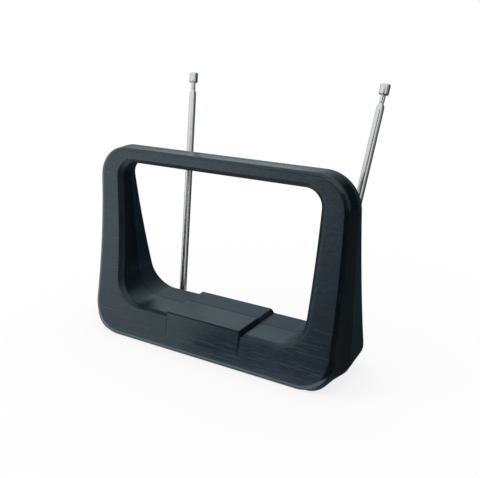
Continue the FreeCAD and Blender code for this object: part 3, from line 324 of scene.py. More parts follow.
class FrameForm:
    """The loop frame as formulas: outlines seen from the front, and arcs seen from the side."""

    def __init__(self, s):
        self.s = s
        self.outer = rounded_outline(s.half_width, s.base, s.half_width, s.top, s.corner, s.corner)
        self.window = rounded_outline(s.half_width - s.side_bar_bottom, s.base + s.bottom_bar,
                                      s.half_width - s.side_bar_top, s.top - s.top_bar, s.sill_radius, s.head_radius)
        self.seam_outline = self.shell_outline(s.low_corner_seam, s.flare)
        self.front_arc = self.arc(-s.half_base, s.front_lean, s.front_hollow)

    def arc(self, start, lean, hollow):
        """Centre and radius of an arc from the base edge to the top edge, hollow at mid-height.

        The radius is the chord squared over eight hollows, plus half the hollow.
        """
        rise = self.s.top - self.s.base
        chord = math.hypot(lean, rise)
        radius = chord ** 2 / (8 * hollow) + hollow / 2
        middle = np.array([start + lean / 2, (self.s.base + self.s.top) / 2])
        normal = np.array([rise, -lean]) / chord
        return middle + normal * (hollow - radius), radius

    def front(self, z, depth=0.0):
        """Front surface at a height, or a surface at a depth behind it: a point of the widened arc."""
        centre, radius = self.front_arc
        return centre[0] + np.sqrt((radius + depth) ** 2 - (z - centre[1]) ** 2)

    def behind_front(self, depth):
        return lambda z: self.front(z, depth)

    def plane(self, y):
        return lambda z: np.full_like(z, y)

    def ring(self, share, inset, level):
        """One row of the ring: a share of the way from the outline to the window, each drawn into the bar by an
        inset, at the depth that a level gives for its height."""
        outer = self.outer[0] - self.outer[1] * inset
        inner = self.window[0] + self.window[1] * inset
        flat = (1 - share) * outer + share * inner
        return np.column_stack([flat[:, 0], level(flat[:, 1]), flat[:, 1]])

    def bevel(self, outline, way, wide, narrow):
        """Width of a bevel along the face: narrow where the outline faces up (1) or down (-1), and wider with the
        square of the turn from it."""
        facing = np.clip(way * outline[1][:, 1:], 0, 1)
        return wide + (narrow - wide) * facing ** 2

    def shell_outline(self, low_radius, wide):
        s = self.s
        half = s.half_width + wide
        return rounded_outline(half, s.base, half, s.top, low_radius, s.corner)

    def shell_row(self, share):
        """One row of the front shell's outside, a share of the way from the plate to the seam.

        The lower corners tighten with the share. Each point stands out sideways by the flare times its way from the
        start of the flare, or from the plate where that is nearer, to the seam.
        """
        s = self.s
        low_radius = s.low_corner_front + (s.low_corner_seam - s.low_corner_front) * share
        flat = self.shell_outline(low_radius, 0.0)[0]
        face = self.front(flat[:, 1], s.plate + s.plate_gap)
        y = (1 - share) * face + share * (s.seam - s.groove)
        start = np.maximum(face, s.seam - s.flare_run)
        wide = s.flare * np.clip((y - start) / (s.seam - start), 0, 1)
        x = flat[:, 0] + wide * np.clip(flat[:, 0] / (s.half_width - s.corner), -1, 1)
        return np.column_stack([x, y, flat[:, 1]])

    def seam_row(self, inset):
        flat = self.seam_outline[0] - self.seam_outline[1] * inset
        return np.column_stack([flat[:, 0], np.full(len(flat), self.s.seam), flat[:, 1]])

    def saddle_front(self, z):
        """Front line of the saddle: straight from its top edge to where it fades into the plate."""
        top = self.s.base + self.s.bottom_bar + self.s.saddle_rise
        fade = top - self.s.saddle_drop
        high, low = self.front(top) - self.s.saddle_proud, self.front(fade)
        return high - (top - z) * (high - low) / self.s.saddle_drop


# Pieces

def add_piece(name, points, faces, finishes, body, stands_for=(), kinds=None, own_place=None):
    """Puts a surface into the scene as a piece of a body, turned right side out.

    The kinds say which of the finishes each face takes. Own places are for patterns that follow the piece.
    """
    points = np.asarray(points, float)
    if signed_volume(points, faces) < 0:
        faces = [face[::-1] for face in faces]
    mesh = bpy.data.meshes.new(name)
    mesh.from_pydata(points.tolist(), [], faces)
    if own_place is not None:
        places = mesh.attributes.new("own_place", "FLOAT_VECTOR", "POINT")
        places.data.foreach_set("vector", own_place.astype(np.float32).ravel())
    if mesh.validate():
        raise RuntimeError(f"{name} has a broken face")
    mesh.shade_smooth()
    mesh.set_sharp_from_angle(angle=SHARP_ANGLE)
    for finish in finishes:
        mesh.materials.append(finish)
    if kinds is not None:
        mesh.polygons.foreach_set("material_index", np.asarray(kinds, np.int32))
    item = bpy.data.objects.new(name, mesh)
    bpy.context.scene.collection.objects.link(item)
    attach(item, body)
    if stands_for:
        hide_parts(*stands_for)


def add_ring(name, rows, radii, finishes, stands_for, bands=None):
    """Adds a ring surface whose rows close on themselves round the bar's section.

    The bands give the finish from each row to the next.
    """
    points, faces = closed_surface(soften(np.array(rows), radii, True), True)
    kinds = None if bands is None else np.repeat(soften_bands(bands, radii), len(rows[0]))
    add_piece(name, points, faces, finishes, "frame", stands_for, kinds)


def dress(node, finish):
    """Gives a solid's own mesh a finish."""
    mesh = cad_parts[node].data
    mesh.materials.clear()
    mesh.materials.append(finish)


# Finishes

class Value:
    """A socket of a finish. Arithmetic on values adds Math nodes."""

    def __init__(self, finish, socket):
        self.finish = finish
        self.socket = socket

    def math(self, operation, a, b):
        made = self.finish.node("ShaderNodeMath", {"operation": operation}, {0: a, 1: b})
        return Value(self.finish, made.outputs[0])

    def __add__(self, other):
        return self.math("ADD", self, other)

    def __sub__(self, other):
        return self.math("SUBTRACT", self, other)

    def __mul__(self, other):
        return self.math("MULTIPLY", self, other)

    def __rsub__(self, other):
        return self.math("SUBTRACT", other, self)

    __radd__ = __add__
    __rmul__ = __mul__


class Finish:
    """A material under construction, or the nodes of another owner."""

    def __init__(self, name, owner=None):
        self.owner = owner or bpy.data.materials.new(name)
        self.owner.use_nodes = True
        self.tree = self.owner.node_tree
        self.tree.nodes.clear()

    def node(self, kind, settings=None, sockets=None):
        """Adds any node: its settings first, then the values or links of its sockets."""
        made = self.tree.nodes.new(kind)
        for key, value in (settings or {}).items():
            setattr(made, key, value)
        for key, value in (sockets or {}).items():
            if isinstance(value, Value):
                self.tree.links.new(value.socket, made.inputs[key])
            else:
                made.inputs[key].default_value = value
        return made

    def out(self, made, key=0):
        return Value(self, made.outputs[key])

    def place(self, stretch=1.0, own=None):
        """Place on the piece, in metres, stretched: the object's coordinates, or an attribute of the piece."""
        stretch = (stretch,) * 3 if isinstance(stretch, float) else stretch
        if own:
            base = self.out(self.node("ShaderNodeAttribute", {"attribute_name": own}), "Vector")
        else:
            base = self.out(self.node("ShaderNodeTexCoord"), "Object")
        return self.out(self.node("ShaderNodeVectorMath", {"operation": "MULTIPLY"}, {0: base, 1: stretch}))

    def noise(self, place, detail=3.0, roughness=0.55):
        """Cloudy pattern between 0 and 1, one cloud to a unit of place."""
        return self.out(self.node("ShaderNodeTexNoise", None, {"Vector": place, "Scale": 1.0, "Detail": detail,
                                                               "Roughness": roughness}), "Fac")

    def span(self, value, low, high, to_low=0.0, to_high=1.0):
        """Maps a value's range onto another, and holds it there."""
        made = self.node("ShaderNodeMapRange", {"clamp": True}, {"Value": value, "From Min": low, "From Max": high,
                                                                 "To Min": to_low, "To Max": to_high})
        return self.out(made, "Result")

    def blend(self, share, a, b):
        """Mixes two colours by a share."""
        made = self.node("ShaderNodeMix", {"data_type": "RGBA"}, {0: share, 6: a, 7: b})
        return self.out(made, 2)

    def bump(self, height, strength, distance):
        return self.out(self.node("ShaderNodeBump", None, {"Height": height, "Strength": strength,
                                                           "Distance": distance}), "Normal")

    def done(self, **sockets):
        """Ends the finish in a Principled shader. A double underscore in a name stands for a space."""
        named = {key.replace("__", " "): value for key, value in sockets.items()}
        shader = self.node("ShaderNodeBsdfPrincipled", None, named)
        self.node("ShaderNodeOutputMaterial", None, {"Surface": self.out(shader, "BSDF")})
        return self.owner


def shade(rgb, factor):
    """A colour made lighter or darker, as four numbers."""
    return tuple(min(1.0, c * factor) for c in rgb) + (1.0,)


def plate_finish(name, colours):
    """Charcoal plastic with a fine horizontal grain, and here and there a lighter scratch."""
    f = Finish(name)
    grain = f.noise(f.place((55.0, 1500.0, 1500.0)), detail=4.0, roughness=0.7)
    scratch = f.span(f.noise(f.place((35.0, 1800.0, 1800.0)), detail=2.0), 0.60, 0.72)
    patch = f.span(f.noise(f.place((30.0, 30.0, 60.0))), 0.4, 0.65)
    cloud = f.noise(f.place(25.0))
    dark, light = shade(colours.plate, 0.6), shade(colours.plate, 1.5)
    face = f.blend(f.span(grain * 0.8 + cloud * 0.2, 0.35, 0.68), dark, light)
    return f.done(Base__Color=f.blend(scratch * (0.25 + 0.75 * patch), face, shade(colours.scratch, 0.85)),
                  Roughness=0.14 + 0.18 * grain + 0.04 * cloud,
                  Normal=f.bump(grain + 0.5 * scratch, strength=0.4, distance=0.0002),
                  IOR=1.56, Specular__Tint=shade(colours.sheen, 1.0))


# Looks by finish: colour, roughness and index; then roughness, index and lightness, where the rear shell's greater
# lightness is painted light
# flank_black is the rim's black with little reflection: painted shade on the saddle's flanks
RIM_LOOKS = {"rim_black": ("rim", 0.14, 1.6), "window_bevel": ("plate", 0.3, 1.46), "flank_black": ("rim", 0.45, 1.2)}
SHELL_LOOKS = {"front_shell": (0.13, 1.5, 1.0), "rear_shell": (0.18, 1.4, 2.4)}


def rim_finish(name, colours):
    """Smooth dark plastic of the plate's bevels, and the black painted shade of the saddle's flanks, with faint
    cloudy wear.
    """
    f = Finish(name)
    key, rough, index = RIM_LOOKS[name]
    rgb = getattr(colours, key)
    cloud = f.noise(f.place(60.0))
    fine = f.noise(f.place(3000.0), detail=2.0)
    return f.done(Base__Color=f.blend(f.span(cloud, 0.35, 0.7), shade(rgb, 0.6), shade(rgb, 1.6)),
                  Roughness=rough + 0.06 * cloud + 0.04 * fine,
                  Normal=f.bump(fine, strength=0.04, distance=0.00005),
                  IOR=index, Specular__Tint=shade(colours.sheen, 1.0))


def shell_finish(name, colours, sizes):
    """Moulded charcoal plastic with a very fine spark texture, duller low down, and black painted shade on the
    saddle's flanks.
    """
    f = Finish(name)
    rough, index, light = SHELL_LOOKS[name]
    spark = f.noise(f.place(2600.0))
    cloud = f.noise(f.place(30.0))
    # The lightness paints light: the rear shell is the same plastic as the front shell, made lighter
    dark, pale = shade(colours.shell, 0.75 * light), shade(colours.shell, 1.3 * light)
    skin = f.blend(f.span(spark * 0.5 + cloud * 0.5, 0.3, 0.7), dark, pale)
    axes = f.node("ShaderNodeSeparateXYZ", None, {0: f.place()})
    height = f.out(axes, "Z")
    aside = f.out(f.node("ShaderNodeMath", {"operation": "ABSOLUTE"}, {0: f.out(axes, "X")}))
    # Painted shade: black beside the saddle, from the bar to the saddle's top; and duller low down
    bar, half = sizes.base + sizes.bottom_bar, sizes.saddle_width / 2
    rise = bar + sizes.saddle_rise
    over = f.span(height, bar + 0.0001, bar + 0.0002) * f.span(height, rise + 0.0005, rise + 0.0015, 1.0, 0.0)
    painted_shade_beside = f.span(aside, half, half + 0.0005) * f.span(aside, half + 0.005, half + 0.006, 1.0, 0.0)
    handled = f.span(height, bar + 0.005, bar + 0.03, 0.17, 0.0)
    return f.done(Base__Color=f.blend(over * painted_shade_beside, skin, shade(colours.rim, 1.0)),
                  Roughness=rough + 0.06 * spark + 0.06 * cloud + handled,
                  Normal=f.bump(spark, strength=0.08, distance=0.00012),
                  IOR=index, Specular__Tint=shade(colours.sheen, 1.0))


def chrome_finish(name, colours):
    """Bright plating with fine drawn lines along the tube and a few cloudy patches."""
    f = Finish(name)
    lines = f.noise(f.place((1500.0, 1500.0, 25.0), "own_place"), detail=2.0)
    cloud = f.noise(f.place((90.0, 90.0, 40.0), "own_place"))
    base = f.blend(f.span(cloud, 0.35, 0.7), shade(colours.chrome, 1.03), shade(colours.chrome, 0.95))
    return f.done(Base__Color=base, Metallic=1.0, Roughness=0.17 + 0.04 * lines + 0.05 * cloud)


def metal_finish(name, rgb, rough):
    """Plated or bare metal with small tumbling marks."""
    f = Finish(name)
    marks = f.noise(f.place(1500.0), detail=4.0, roughness=0.65)
    cloud = f.noise(f.place(120.0))
    base = f.blend(f.span(marks * 0.4 + cloud * 0.6, 0.3, 0.7), shade(rgb, 0.82), shade(rgb, 1.12))
    return f.done(Base__Color=base, Metallic=1.0, Roughness=rough + 0.16 * (marks - 0.5) + 0.1 * (cloud - 0.5),
                  Normal=f.bump(marks, strength=0.12, distance=0.00008))


def matter_finish(name, rgb, rough, scale=2000.0, depth=0.00012):
    """Plastic, rubber, lacquer or fibre with a small grain."""
    f = Finish(name)
    grain = f.noise(f.place(scale), roughness=0.6)
    cloud = f.noise(f.place(80.0))
    base = f.blend(f.span(grain * 0.5 + cloud * 0.5, 0.3, 0.7), shade(rgb, 0.75), shade(rgb, 1.25))
    return f.done(Base__Color=base, Roughness=rough + 0.14 * (grain - 0.5) + 0.1 * (cloud - 0.5),
                  Normal=f.bump(grain, strength=0.25, distance=depth), IOR=1.5)


FINISHES = {}


def shared_finish(maker, name, *arguments):
    """The finish of a name, made once."""
    if name not in FINISHES:
        FINISHES[name] = maker(name, *arguments)
    return FINISHES[name]


# Finishes by colour: maker, name, roughness, and where it matters the grain's scale and depth
PLAIN_FINISHES = {
    "mat": (matter_finish, "mat_rubber", 0.82, 1200.0, 0.0003),
    "nickel": (metal_finish, "nickel_plating", 0.24),
    "steel": (metal_finish, "bright_steel", 0.34),
    "aluminium": (metal_finish, "loop_aluminium", 0.36),
    "board": (matter_finish, "board_lacquer", 0.35),
    "ferrite": (matter_finish, "core_ferrite", 0.6),
    "copper": (metal_finish, "enamelled_copper", 0.25),
    "capacitor": (matter_finish, "capacitor_dip", 0.35),
    "insulator": (matter_finish, "socket_core", 0.45),
    "brass": (metal_finish, "brass_strip", 0.32),
    "washer": (matter_finish, "washer_fibre", 0.7),
    "lead": (matter_finish, "lead_sleeve", 0.5),
}


def dress_all(nodes, colours):
    """Gives solids the plain finishes that a table names."""
    for node, key in nodes.items():
        maker, name, *values = PLAIN_FINISHES[key]
        dress(node, shared_finish(maker, name, getattr(colours, key), *values))


# Operators

class ANTENNA_OT_front_plate(bpy.types.Operator):
    """Front plate: a curved ring with a wide rim bevel, a window bevel and softened edges"""

    bl_idname = "antenna.front_plate"
    bl_label = "Front plate"

    def execute(self, context):
        s, colours = context.scene.antenna_frame, context.scene.antenna_colours
        form = FrameForm(s)
        finishes = (shared_finish(plate_finish, "plate_charcoal", colours),
                    shared_finish(rim_finish, "rim_black", colours),
                    shared_finish(rim_finish, "window_bevel", colours))
        face, back = form.behind_front(0.0), form.behind_front(s.plate)
        rim_foot, window_foot = form.behind_front(s.rim_depth), form.behind_front(s.window_depth)
        start = form.ring(0, form.bevel(form.outer, 1, s.rim_width, s.rim_top), face)
        end = form.ring(1, form.bevel(form.window, -1, s.window_width, s.sill_width), face)
        rows = [form.ring(0, 0, back), form.ring(0, 0, rim_foot), start]
        rows += [self.face_row(start, end, share, face) for share in np.linspace(0, 1, FACE_ROWS + 2)[1:-1]]
        rows += [end, form.ring(1, 0, window_foot), form.ring(1, 0, back)]
        fine = s.edge / 2
        radii = [fine, s.edge, s.edge] + [0] * FACE_ROWS + [s.edge, s.edge, fine]
        bands = [RIM, RIM] + [FACE] * (FACE_ROWS + 1) + [WINDOW, WINDOW, RIM]
        add_ring("front_plate", rows, radii, finishes, ("front_bezel",), bands)
        return {"FINISHED"}

    def face_row(self, start, end, share, level):
        """Row across the face, between the foot of the rim bevel and the foot of the window bevel."""
        row = (1 - share) * start + share * end
        row[:, 1] = level(row[:, 2])
        return row


class ANTENNA_OT_shells(bpy.types.Operator):
    """Front and rear shells: hollow rings that meet at a fine groove"""

    bl_idname = "antenna.shells"
    bl_label = "Shells"

    def execute(self, context):
        s, colours = context.scene.antenna_frame, context.scene.antenna_colours
        form = FrameForm(s)
        outside = form.behind_front(s.plate + s.plate_gap)
        inside = form.behind_front(s.plate + s.plate_gap + s.wall)
        lip, seam = form.plane(s.seam - s.groove), form.plane(s.seam)
        ring = form.ring
        rows = [form.shell_row(share) for share in np.linspace(0, 1, SHELL_ROWS)]
        hollow = [form.seam_row(s.groove), ring(0, s.wall, seam), ring(0, s.wall, inside),
                  ring(1, s.wall, inside), ring(1, s.wall, seam), ring(1, s.groove, seam)]
        window = [ring(1, 0, lip), ring(1, 0, outside)]
        fine = s.edge / 4
        radii = [fine] + [0] * (SHELL_ROWS - 2) + [fine] + [0] * len(hollow) + [fine] * len(window)
        finish = shared_finish(shell_finish, "front_shell", colours, s)
        add_ring("front_shell", rows + hollow + window, radii, (finish,), ("front_housing",))
        # The rear shell takes the same plastic made lighter, as painted light
        dress("rear_housing", shared_finish(shell_finish, "rear_shell", colours, s))
        return {"FINISHED"}


class ANTENNA_OT_saddle(bpy.types.Operator):
    """Saddle: a block with sloping flanks over the bottom bar, in the plate's and the shells' parts"""

    bl_idname = "antenna.saddle"
    bl_label = "Saddle"

    def execute(self, context):
        s, colours = context.scene.antenna_frame, context.scene.antenna_colours
        form = FrameForm(s)
        finishes = (shared_finish(shell_finish, "front_shell", colours, s),
                    shared_finish(plate_finish, "plate_charcoal", colours),
                    shared_finish(rim_finish, "flank_black", colours))
        top = s.base + s.bottom_bar + s.saddle_rise
        low = top - s.saddle_drop - s.saddle_rise
        part = form.front(top, s.plate)
        deep = s.saddle_rise + s.wall / 2
        front = [self.on_top(top, part), self.at_front(form, top), self.down_front(form, low)]
        # The lower half of the front edge's curve takes the black painted shade
        bands = (SHELL, SHELL, SHELL, PAINTED_SHADE, PAINTED_SHADE, PLATE)
        self.add(form, "saddle_front", deep * SADDLE_SHARE, front, s.saddle_edge, bands, finishes, "plate")
        # The stretch next to the seam takes the black painted shade, a painted shadow line at the seam
        ends = (s.seam - SEAM_TOUCH, s.seam - 2 * s.groove, part + s.plate_gap)
        middle = [self.on_top(top, y) for y in ends]
        self.add(form, "saddle_middle", deep, middle, 0, (PAINTED_SHADE, SHELL), finishes, "shell")
        return {"FINISHED"}

    def on_top(self, top, y):
        """Place on the saddle's top at a depth, for each depth below its skin."""
        return lambda depth: (np.full_like(depth, y), top - depth)

    def at_front(self, form, top):
        """Front top edge: where the lowered top meets the front line moved back."""
        return lambda depth: (form.saddle_front(top - depth) + depth, top - depth)

    def down_front(self, form, z):
        return lambda depth: (form.saddle_front(z) + depth, np.full_like(depth, z))

    def add(self, form, name, deep, path, edge, bands, finishes, slot):
        """Carries a four-sided section along a path.

        The section is as wide as the saddle at its skin and widens by the flank's slope with depth, and the path at
        each depth lies that far under the skin. Bands give the finish of each stretch of the softened path, and faces
        that lean sideways take the black painted shade of the flanks.
        """
        s = form.s
        half = s.saddle_width / 2
        wide = half + s.saddle_flank * deep
        x = np.array([-wide, -half, half, wide])
        depth = np.array([deep, 0.0, 0.0, deep])
        section = np.array([np.column_stack([x, *place(depth)]) for place in path])
        across, along = [0, s.saddle_edge, s.saddle_edge, 0], [0, edge, 0]
        columns = soften(section.transpose(1, 0, 2), across, True)
        rows = soften(columns.transpose(1, 0, 2), along, False)
        points, faces = closed_surface(rows, False)
        corners = points[np.array(faces[:-2])]
        facing = np.cross(corners[:, 2] - corners[:, 0], corners[:, 3] - corners[:, 1])
        sideways = np.abs(facing[:, 0]) > SIDEWAYS * np.linalg.norm(facing, axis=1)
        # Faces that lean sideways take the black painted shade
        kinds = np.where(sideways, PAINTED_SHADE, np.repeat(bands, rows.shape[1]))
        add_piece(name, points, faces, finishes, "frame", (), [*kinds, SHELL, SHELL])


class ANTENNA_OT_rods(bpy.types.Operator):
    """Telescopic rods: nested tubes with narrowed mouths, a tip rod and an end button"""

    bl_idname = "antenna.rods"
    bl_label = "Rods"

    def execute(self, context):
        s = context.scene.antenna_rods
        finish = shared_finish(chrome_finish, "rod_chrome", context.scene.antenna_colours)
        for side, sign in SIDES.items():
            for i, (stage, body) in enumerate(STAGES):
                self.add(s, side, sign, stage, body, self.tube(s, i), finish)
            self.add(s, side, sign, "tip_rod", "tip", self.tip(s), finish)
            self.add(s, side, sign, "tip_cap", "tip", self.cap(s), finish)
        return {"FINISHED"}

    def stage(self, s, i):
        """Radius, lower end and mouth of a stage, counted from the outermost."""
        radius = s.radius - i * (s.wall + s.gap)
        low = s.knuckle if i == 0 else s.knuckle + s.spigot + i * s.step
        return radius, low, s.rod - s.cap_height - s.neck_length + i * s.step

    def tube(self, s, i):
        """Closed half section of a tube as (radius, height, edge radius)."""
        radius, low, high = self.stage(s, i)
        bore, neck = radius - s.wall, high - s.mouth
        throat = bore - s.gap + s.run
        collar = radius + s.gap - s.run
        foot = [(radius, low, 0)] if i == 0 else [(collar, low, 0), (collar, low + s.collar, 0),
                                                  (radius, low + s.collar, 0)]
        mouth = [(throat + s.mouth_lip, high, LIP_EDGE), (throat, high, LIP_EDGE), (throat, neck, 0)]
        return [(bore, low, 0), *foot, (radius, neck, MOUTH_EDGE), *mouth, (bore, neck, 0)]

    def tip(self, s):
        """Half section of the tip rod, up to the middle of the end button."""
        radius, low, _ = self.stage(s, len(STAGES))
        collar = radius + s.gap - s.run
        roof = s.rod - s.cap_height / 2
        axis = radius * AXIS_SHARE
        return [(axis, low, 0), (collar, low, 0), (collar, low + s.collar, 0), (radius, low + s.collar, 0),
                (radius, roof, 0), (axis, roof, 0)]

    def cap(self, s):
        """Half section of the end button and its sleeve."""
        bore = self.stage(s, len(STAGES))[0] + s.fit
        low = self.stage(s, len(STAGES) - 1)[2] + s.face
        under, roof, edge = s.rod - s.cap_height, s.rod - s.cap_height / 2, s.cap_edge
        axis = bore * AXIS_SHARE
        sleeve = [(bore, low, 0), (s.neck_radius, low, LIP_EDGE), (s.neck_radius, under, BUTTON_EDGE)]
        foot = [(s.cap_radius - edge, under, FOOT_EDGE), (s.cap_radius, under + edge, BUTTON_EDGE)]
        head = [(s.cap_radius, s.rod - edge, BUTTON_EDGE), (s.cap_radius - edge, s.rod, BUTTON_EDGE)]
        return [*sleeve, *foot, *head, (axis, s.rod, 0), (axis, roof, 0), (bore, roof, 0)]

    def add(self, s, side, sign, stage, body, section, finish):
        """Turns a half section about its axis and sets it on its fork pin: leaned back about X, then turned
        outwards about Y."""
        section = np.array(section)
        line = soften(np.column_stack([section[:, 0], np.zeros(len(section)), section[:, 1]])[:, None],
                      section[:, 2], True)[:, 0]
        turn = np.linspace(0, 2 * math.pi, ROUND, endpoint=False)
        own = np.stack([line[:, :1] * np.cos(turn), line[:, :1] * np.sin(turn),
                        np.repeat(line[:, 2:], ROUND, 1)], -1)
        points, faces = closed_surface(own, True)
        lean, spread = -s.lean, sign * s.spread
        about_x = np.array([[1, 0, 0], [0, math.cos(lean), -math.sin(lean)], [0, math.sin(lean), math.cos(lean)]])
        about_y = np.array([[math.cos(spread), 0, math.sin(spread)], [0, 1, 0],
                            [-math.sin(spread), 0, math.cos(spread)]])
        low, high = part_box(f"{side}_pivot_pin")
        placed = points @ (about_y @ about_x).T + np.array((low + high) / 2)
        add_piece(f"{side}_{stage}_plated", placed, faces, (finish,), f"{side}_{body}",
                  (f"{side}_{stage}",), own_place=points)


class ANTENNA_OT_swivels(bpy.types.Operator):
    """Swivels: plated forks, pins and knuckles, with their washers and nuts"""

    bl_idname = "antenna.swivels"
    bl_label = "Swivels"

    def execute(self, context):
        parts = {"swivel": "nickel", "rod_knuckle": "nickel", "pivot_pin": "nickel", "swivel_nut": "steel",
                 "spring_washer": "steel", "contact_lug": "brass", "swivel_washer": "washer"}
        nodes = {f"{side}_{part}": key for side in SIDES for part, key in parts.items()}
        dress_all(nodes, context.scene.antenna_colours)
        return {"FINISHED"}


class ANTENNA_OT_base(bpy.types.Operator):
    """Base: rubber mat, ballast and housing screws"""

    bl_idname = "antenna.base"
    bl_label = "Base"

    def execute(self, context):
        nodes = {"base_mat": "mat", "ballast_plate": "steel", "housing_screws": "steel"}
        dress_all(nodes, context.scene.antenna_colours)
        return {"FINISHED"}


class ANTENNA_OT_electrics(bpy.types.Operator):
    """Electrics: strip loop, matching board with its parts, wires and the lead socket"""

    bl_idname = "antenna.electrics"
    bl_label = "Electrics"

    def execute(self, context):
        nodes = {"uhf_loop": "aluminium", "circuit_board": "board", "board_screws": "steel", "balun_core": "ferrite",
                 "balun_winding": "copper", "capacitors": "capacitor", "coax_socket": "nickel",
                 "socket_nut": "nickel", "socket_washer": "nickel", "socket_insulator": "insulator",
                 "socket_contact": "brass", "left_rod_lead": "lead", "right_rod_lead": "lead"}
        dress_all(nodes, context.scene.antenna_colours)
        return {"FINISHED"}


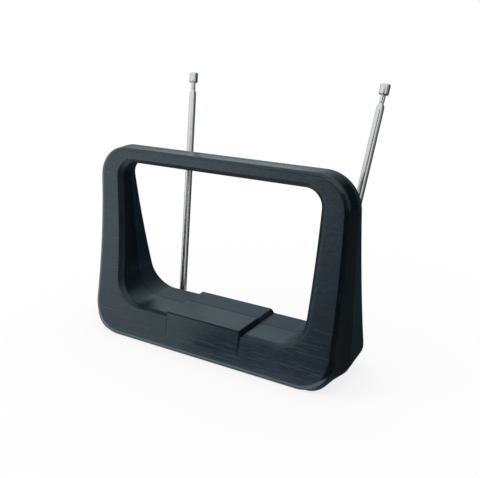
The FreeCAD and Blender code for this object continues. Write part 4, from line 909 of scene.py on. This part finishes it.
class ANTENNA_OT_studio(bpy.types.Operator):
    """Studio: pale floor, white surroundings, soft boxes, cards and the camera"""

    bl_idname = "antenna.studio"
    bl_label = "Studio"

    def execute(self, context):
        s = context.scene.antenna_studio
        context.scene.view_settings.view_transform = "Standard"
        self.floor(s)
        self.surroundings(context.scene, s)
        for name, place, size, power in SOFT_BOXES:
            self.soft_box(name, place, size, getattr(s, power))
        self.cards()
        self.camera(context.scene, s)
        return {"FINISHED"}

    def floor(self, s):
        """Flat disc: rings of points at growing radii, with a finish that is white to the eye and keeps shadows."""
        turn = np.linspace(0, 2 * math.pi, FLOOR_ROUND, endpoint=False)
        radii = np.array(FLOOR_RADII)[:, None]
        x, y = radii * np.cos(turn), radii * np.sin(turn)
        faces = grid_faces(*x.shape, False, True).tolist() + [list(range(FLOOR_ROUND - 1, -1, -1))]
        f = Finish("floor_white")
        seen = self.seen(f)
        diffuse = f.node("ShaderNodeBsdfDiffuse", None, {"Color": (*s.floor, 1.0)})
        glow = f.node("ShaderNodeEmission")
        reach = f.out(f.node("ShaderNodeVectorMath", {"operation": "LENGTH"}, {0: f.place()}), "Value")
        share = f.span(reach, *FLOOR_FADE)
        both = f.node("ShaderNodeMixShader", None, {0: seen * share, 1: f.out(diffuse), 2: f.out(glow)})
        f.node("ShaderNodeOutputMaterial", None, {"Surface": f.out(both)})
        self.set_up("floor", x, y, np.zeros_like(x), [face[::-1] for face in faces], f.owner)

    def set_up(self, name, x, y, z, faces, finish):
        """Adds a mesh to the stage."""
        mesh = bpy.data.meshes.new(name)
        mesh.from_pydata(np.stack([x, y, z], -1).reshape(-1, 3).tolist(), [], faces)
        mesh.materials.append(finish)
        item = bpy.data.objects.new(name, mesh)
        bpy.context.scene.collection.objects.link(item)
        return item

    def seen(self, f):
        """One for what the eye, a mirror or glass sees, and nought for light that falls on the object."""
        path = f.node("ShaderNodeLightPath")
        seen = f.out(path, "Is Camera Ray") + f.out(path, "Is Glossy Ray") + f.out(path, "Is Transmission Ray")
        return f.span(seen, 0.0, 1.0)

    def surroundings(self, scene, s):
        scene.world = bpy.data.worlds.new("white_room")
        room = Finish("white_room", scene.world)
        level = s.ambient + (1 - s.ambient) * self.seen(room)
        light = room.node("ShaderNodeBackground", None, {"Color": WHITE, "Strength": level})
        room.node("ShaderNodeOutputWorld", None, {"Surface": room.out(light)})

    def soft_box(self, name, place, size, power):
        """Square soft light that faces the middle of the frame."""
        light = bpy.data.lights.new(name, "AREA")
        light.size = size
        light.energy = power
        item = self.aim(name, light, place, BOX_AIM)
        item.visible_camera = item.visible_glossy = False

    def aim(self, name, data, place, target):
        """Adds a light or a camera that faces a target."""
        item = bpy.data.objects.new(name, data)
        item.location = place
        item.rotation_euler = (Vector(target) - Vector(place)).to_track_quat("-Z", "Y").to_euler()
        bpy.context.scene.collection.objects.link(item)
        return item

    def cards(self):
        """Dark and bright cards: sectors on the floor, upright arcs, and a strip along the front. Each is a grid over
        the turn from the front towards the right, and over the radius or the height."""
        for name, start, end, low, high, level in FLOOR_CARDS:
            turn, radius = self.sector(start, end, low, high)
            z = np.full_like(turn, FLOOR_LIFT)
            self.card(name, radius * np.sin(turn), -radius * np.cos(turn), z, level, WHITE)
        for walls, tint in ((WALL_CARDS, WHITE), (COOL_WALL_CARDS, COOL)):
            for name, start, end, low, high, level in walls:
                turn, height = self.sector(start, end, low, high)
                self.card(name, WALL_RADIUS * np.sin(turn), -WALL_RADIUS * np.cos(turn), height, level, tint)
        name, start, end, near, far, level = GLOW_CARD
        x, y = np.meshgrid((start, end), -REAR_HIGH.y - np.array((near, far)))
        self.card(name, x, y, np.full_like(x, GLOW_LIFT), level, COOL)

    def sector(self, start, end, low, high):
        return np.meshgrid(np.radians(np.linspace(start, end, CARD_STEPS)), np.linspace(low, high, CARD_ROWS))

    def card(self, name, x, y, z, level, tint):
        f = Finish(name)
        glow = f.node("ShaderNodeEmission", None, {"Color": tint, "Strength": level})
        f.node("ShaderNodeOutputMaterial", None, {"Surface": f.out(glow)})
        item = self.set_up(name, x, y, z, grid_faces(*x.shape, False, False).tolist(), f.owner)
        item.visible_camera = item.visible_diffuse = item.visible_shadow = item.visible_transmission = False

    def camera(self, scene, s):
        lens = bpy.data.cameras.new("camera")
        lens.lens = s.lens
        lens.sensor_fit = "HORIZONTAL"
        scene.camera = self.aim("camera", lens, s.eye, s.target)


OPERATORS = (ANTENNA_OT_front_plate, ANTENNA_OT_shells, ANTENNA_OT_saddle, ANTENNA_OT_rods, ANTENNA_OT_swivels,
             ANTENNA_OT_base, ANTENNA_OT_electrics, ANTENNA_OT_studio)
SETTINGS = {"antenna_frame": AntennaFrame, "antenna_rods": AntennaRods, "antenna_colours": AntennaColours,
            "antenna_studio": AntennaStudio}


class ANTENNA_PT_panel(bpy.types.Panel):
    """Steps of the antenna, in order"""

    bl_idname = "ANTENNA_PT_panel"
    bl_label = "Antenna"
    bl_space_type = "VIEW_3D"
    bl_region_type = "UI"
    bl_category = "Antenna"

    def draw(self, context):
        for step in OPERATORS:
            self.layout.operator(step.bl_idname)


CLASSES = (*SETTINGS.values(), *OPERATORS, ANTENNA_PT_panel)


def register():
    for item in CLASSES:
        bpy.utils.register_class(item)
    for name, settings in SETTINGS.items():
        setattr(bpy.types.Scene, name, PointerProperty(type=settings))


def unregister():
    for name in SETTINGS:
        delattr(bpy.types.Scene, name)
    for item in reversed(CLASSES):
        bpy.utils.unregister_class(item)


def main():
    register()
    bpy.ops.antenna.front_plate()
    bpy.ops.antenna.shells()
    bpy.ops.antenna.saddle()
    bpy.ops.antenna.rods()
    bpy.ops.antenna.swivels()
    bpy.ops.antenna.base()
    bpy.ops.antenna.electrics()
    bpy.ops.antenna.studio()


if __name__ == "__main__":
    main()
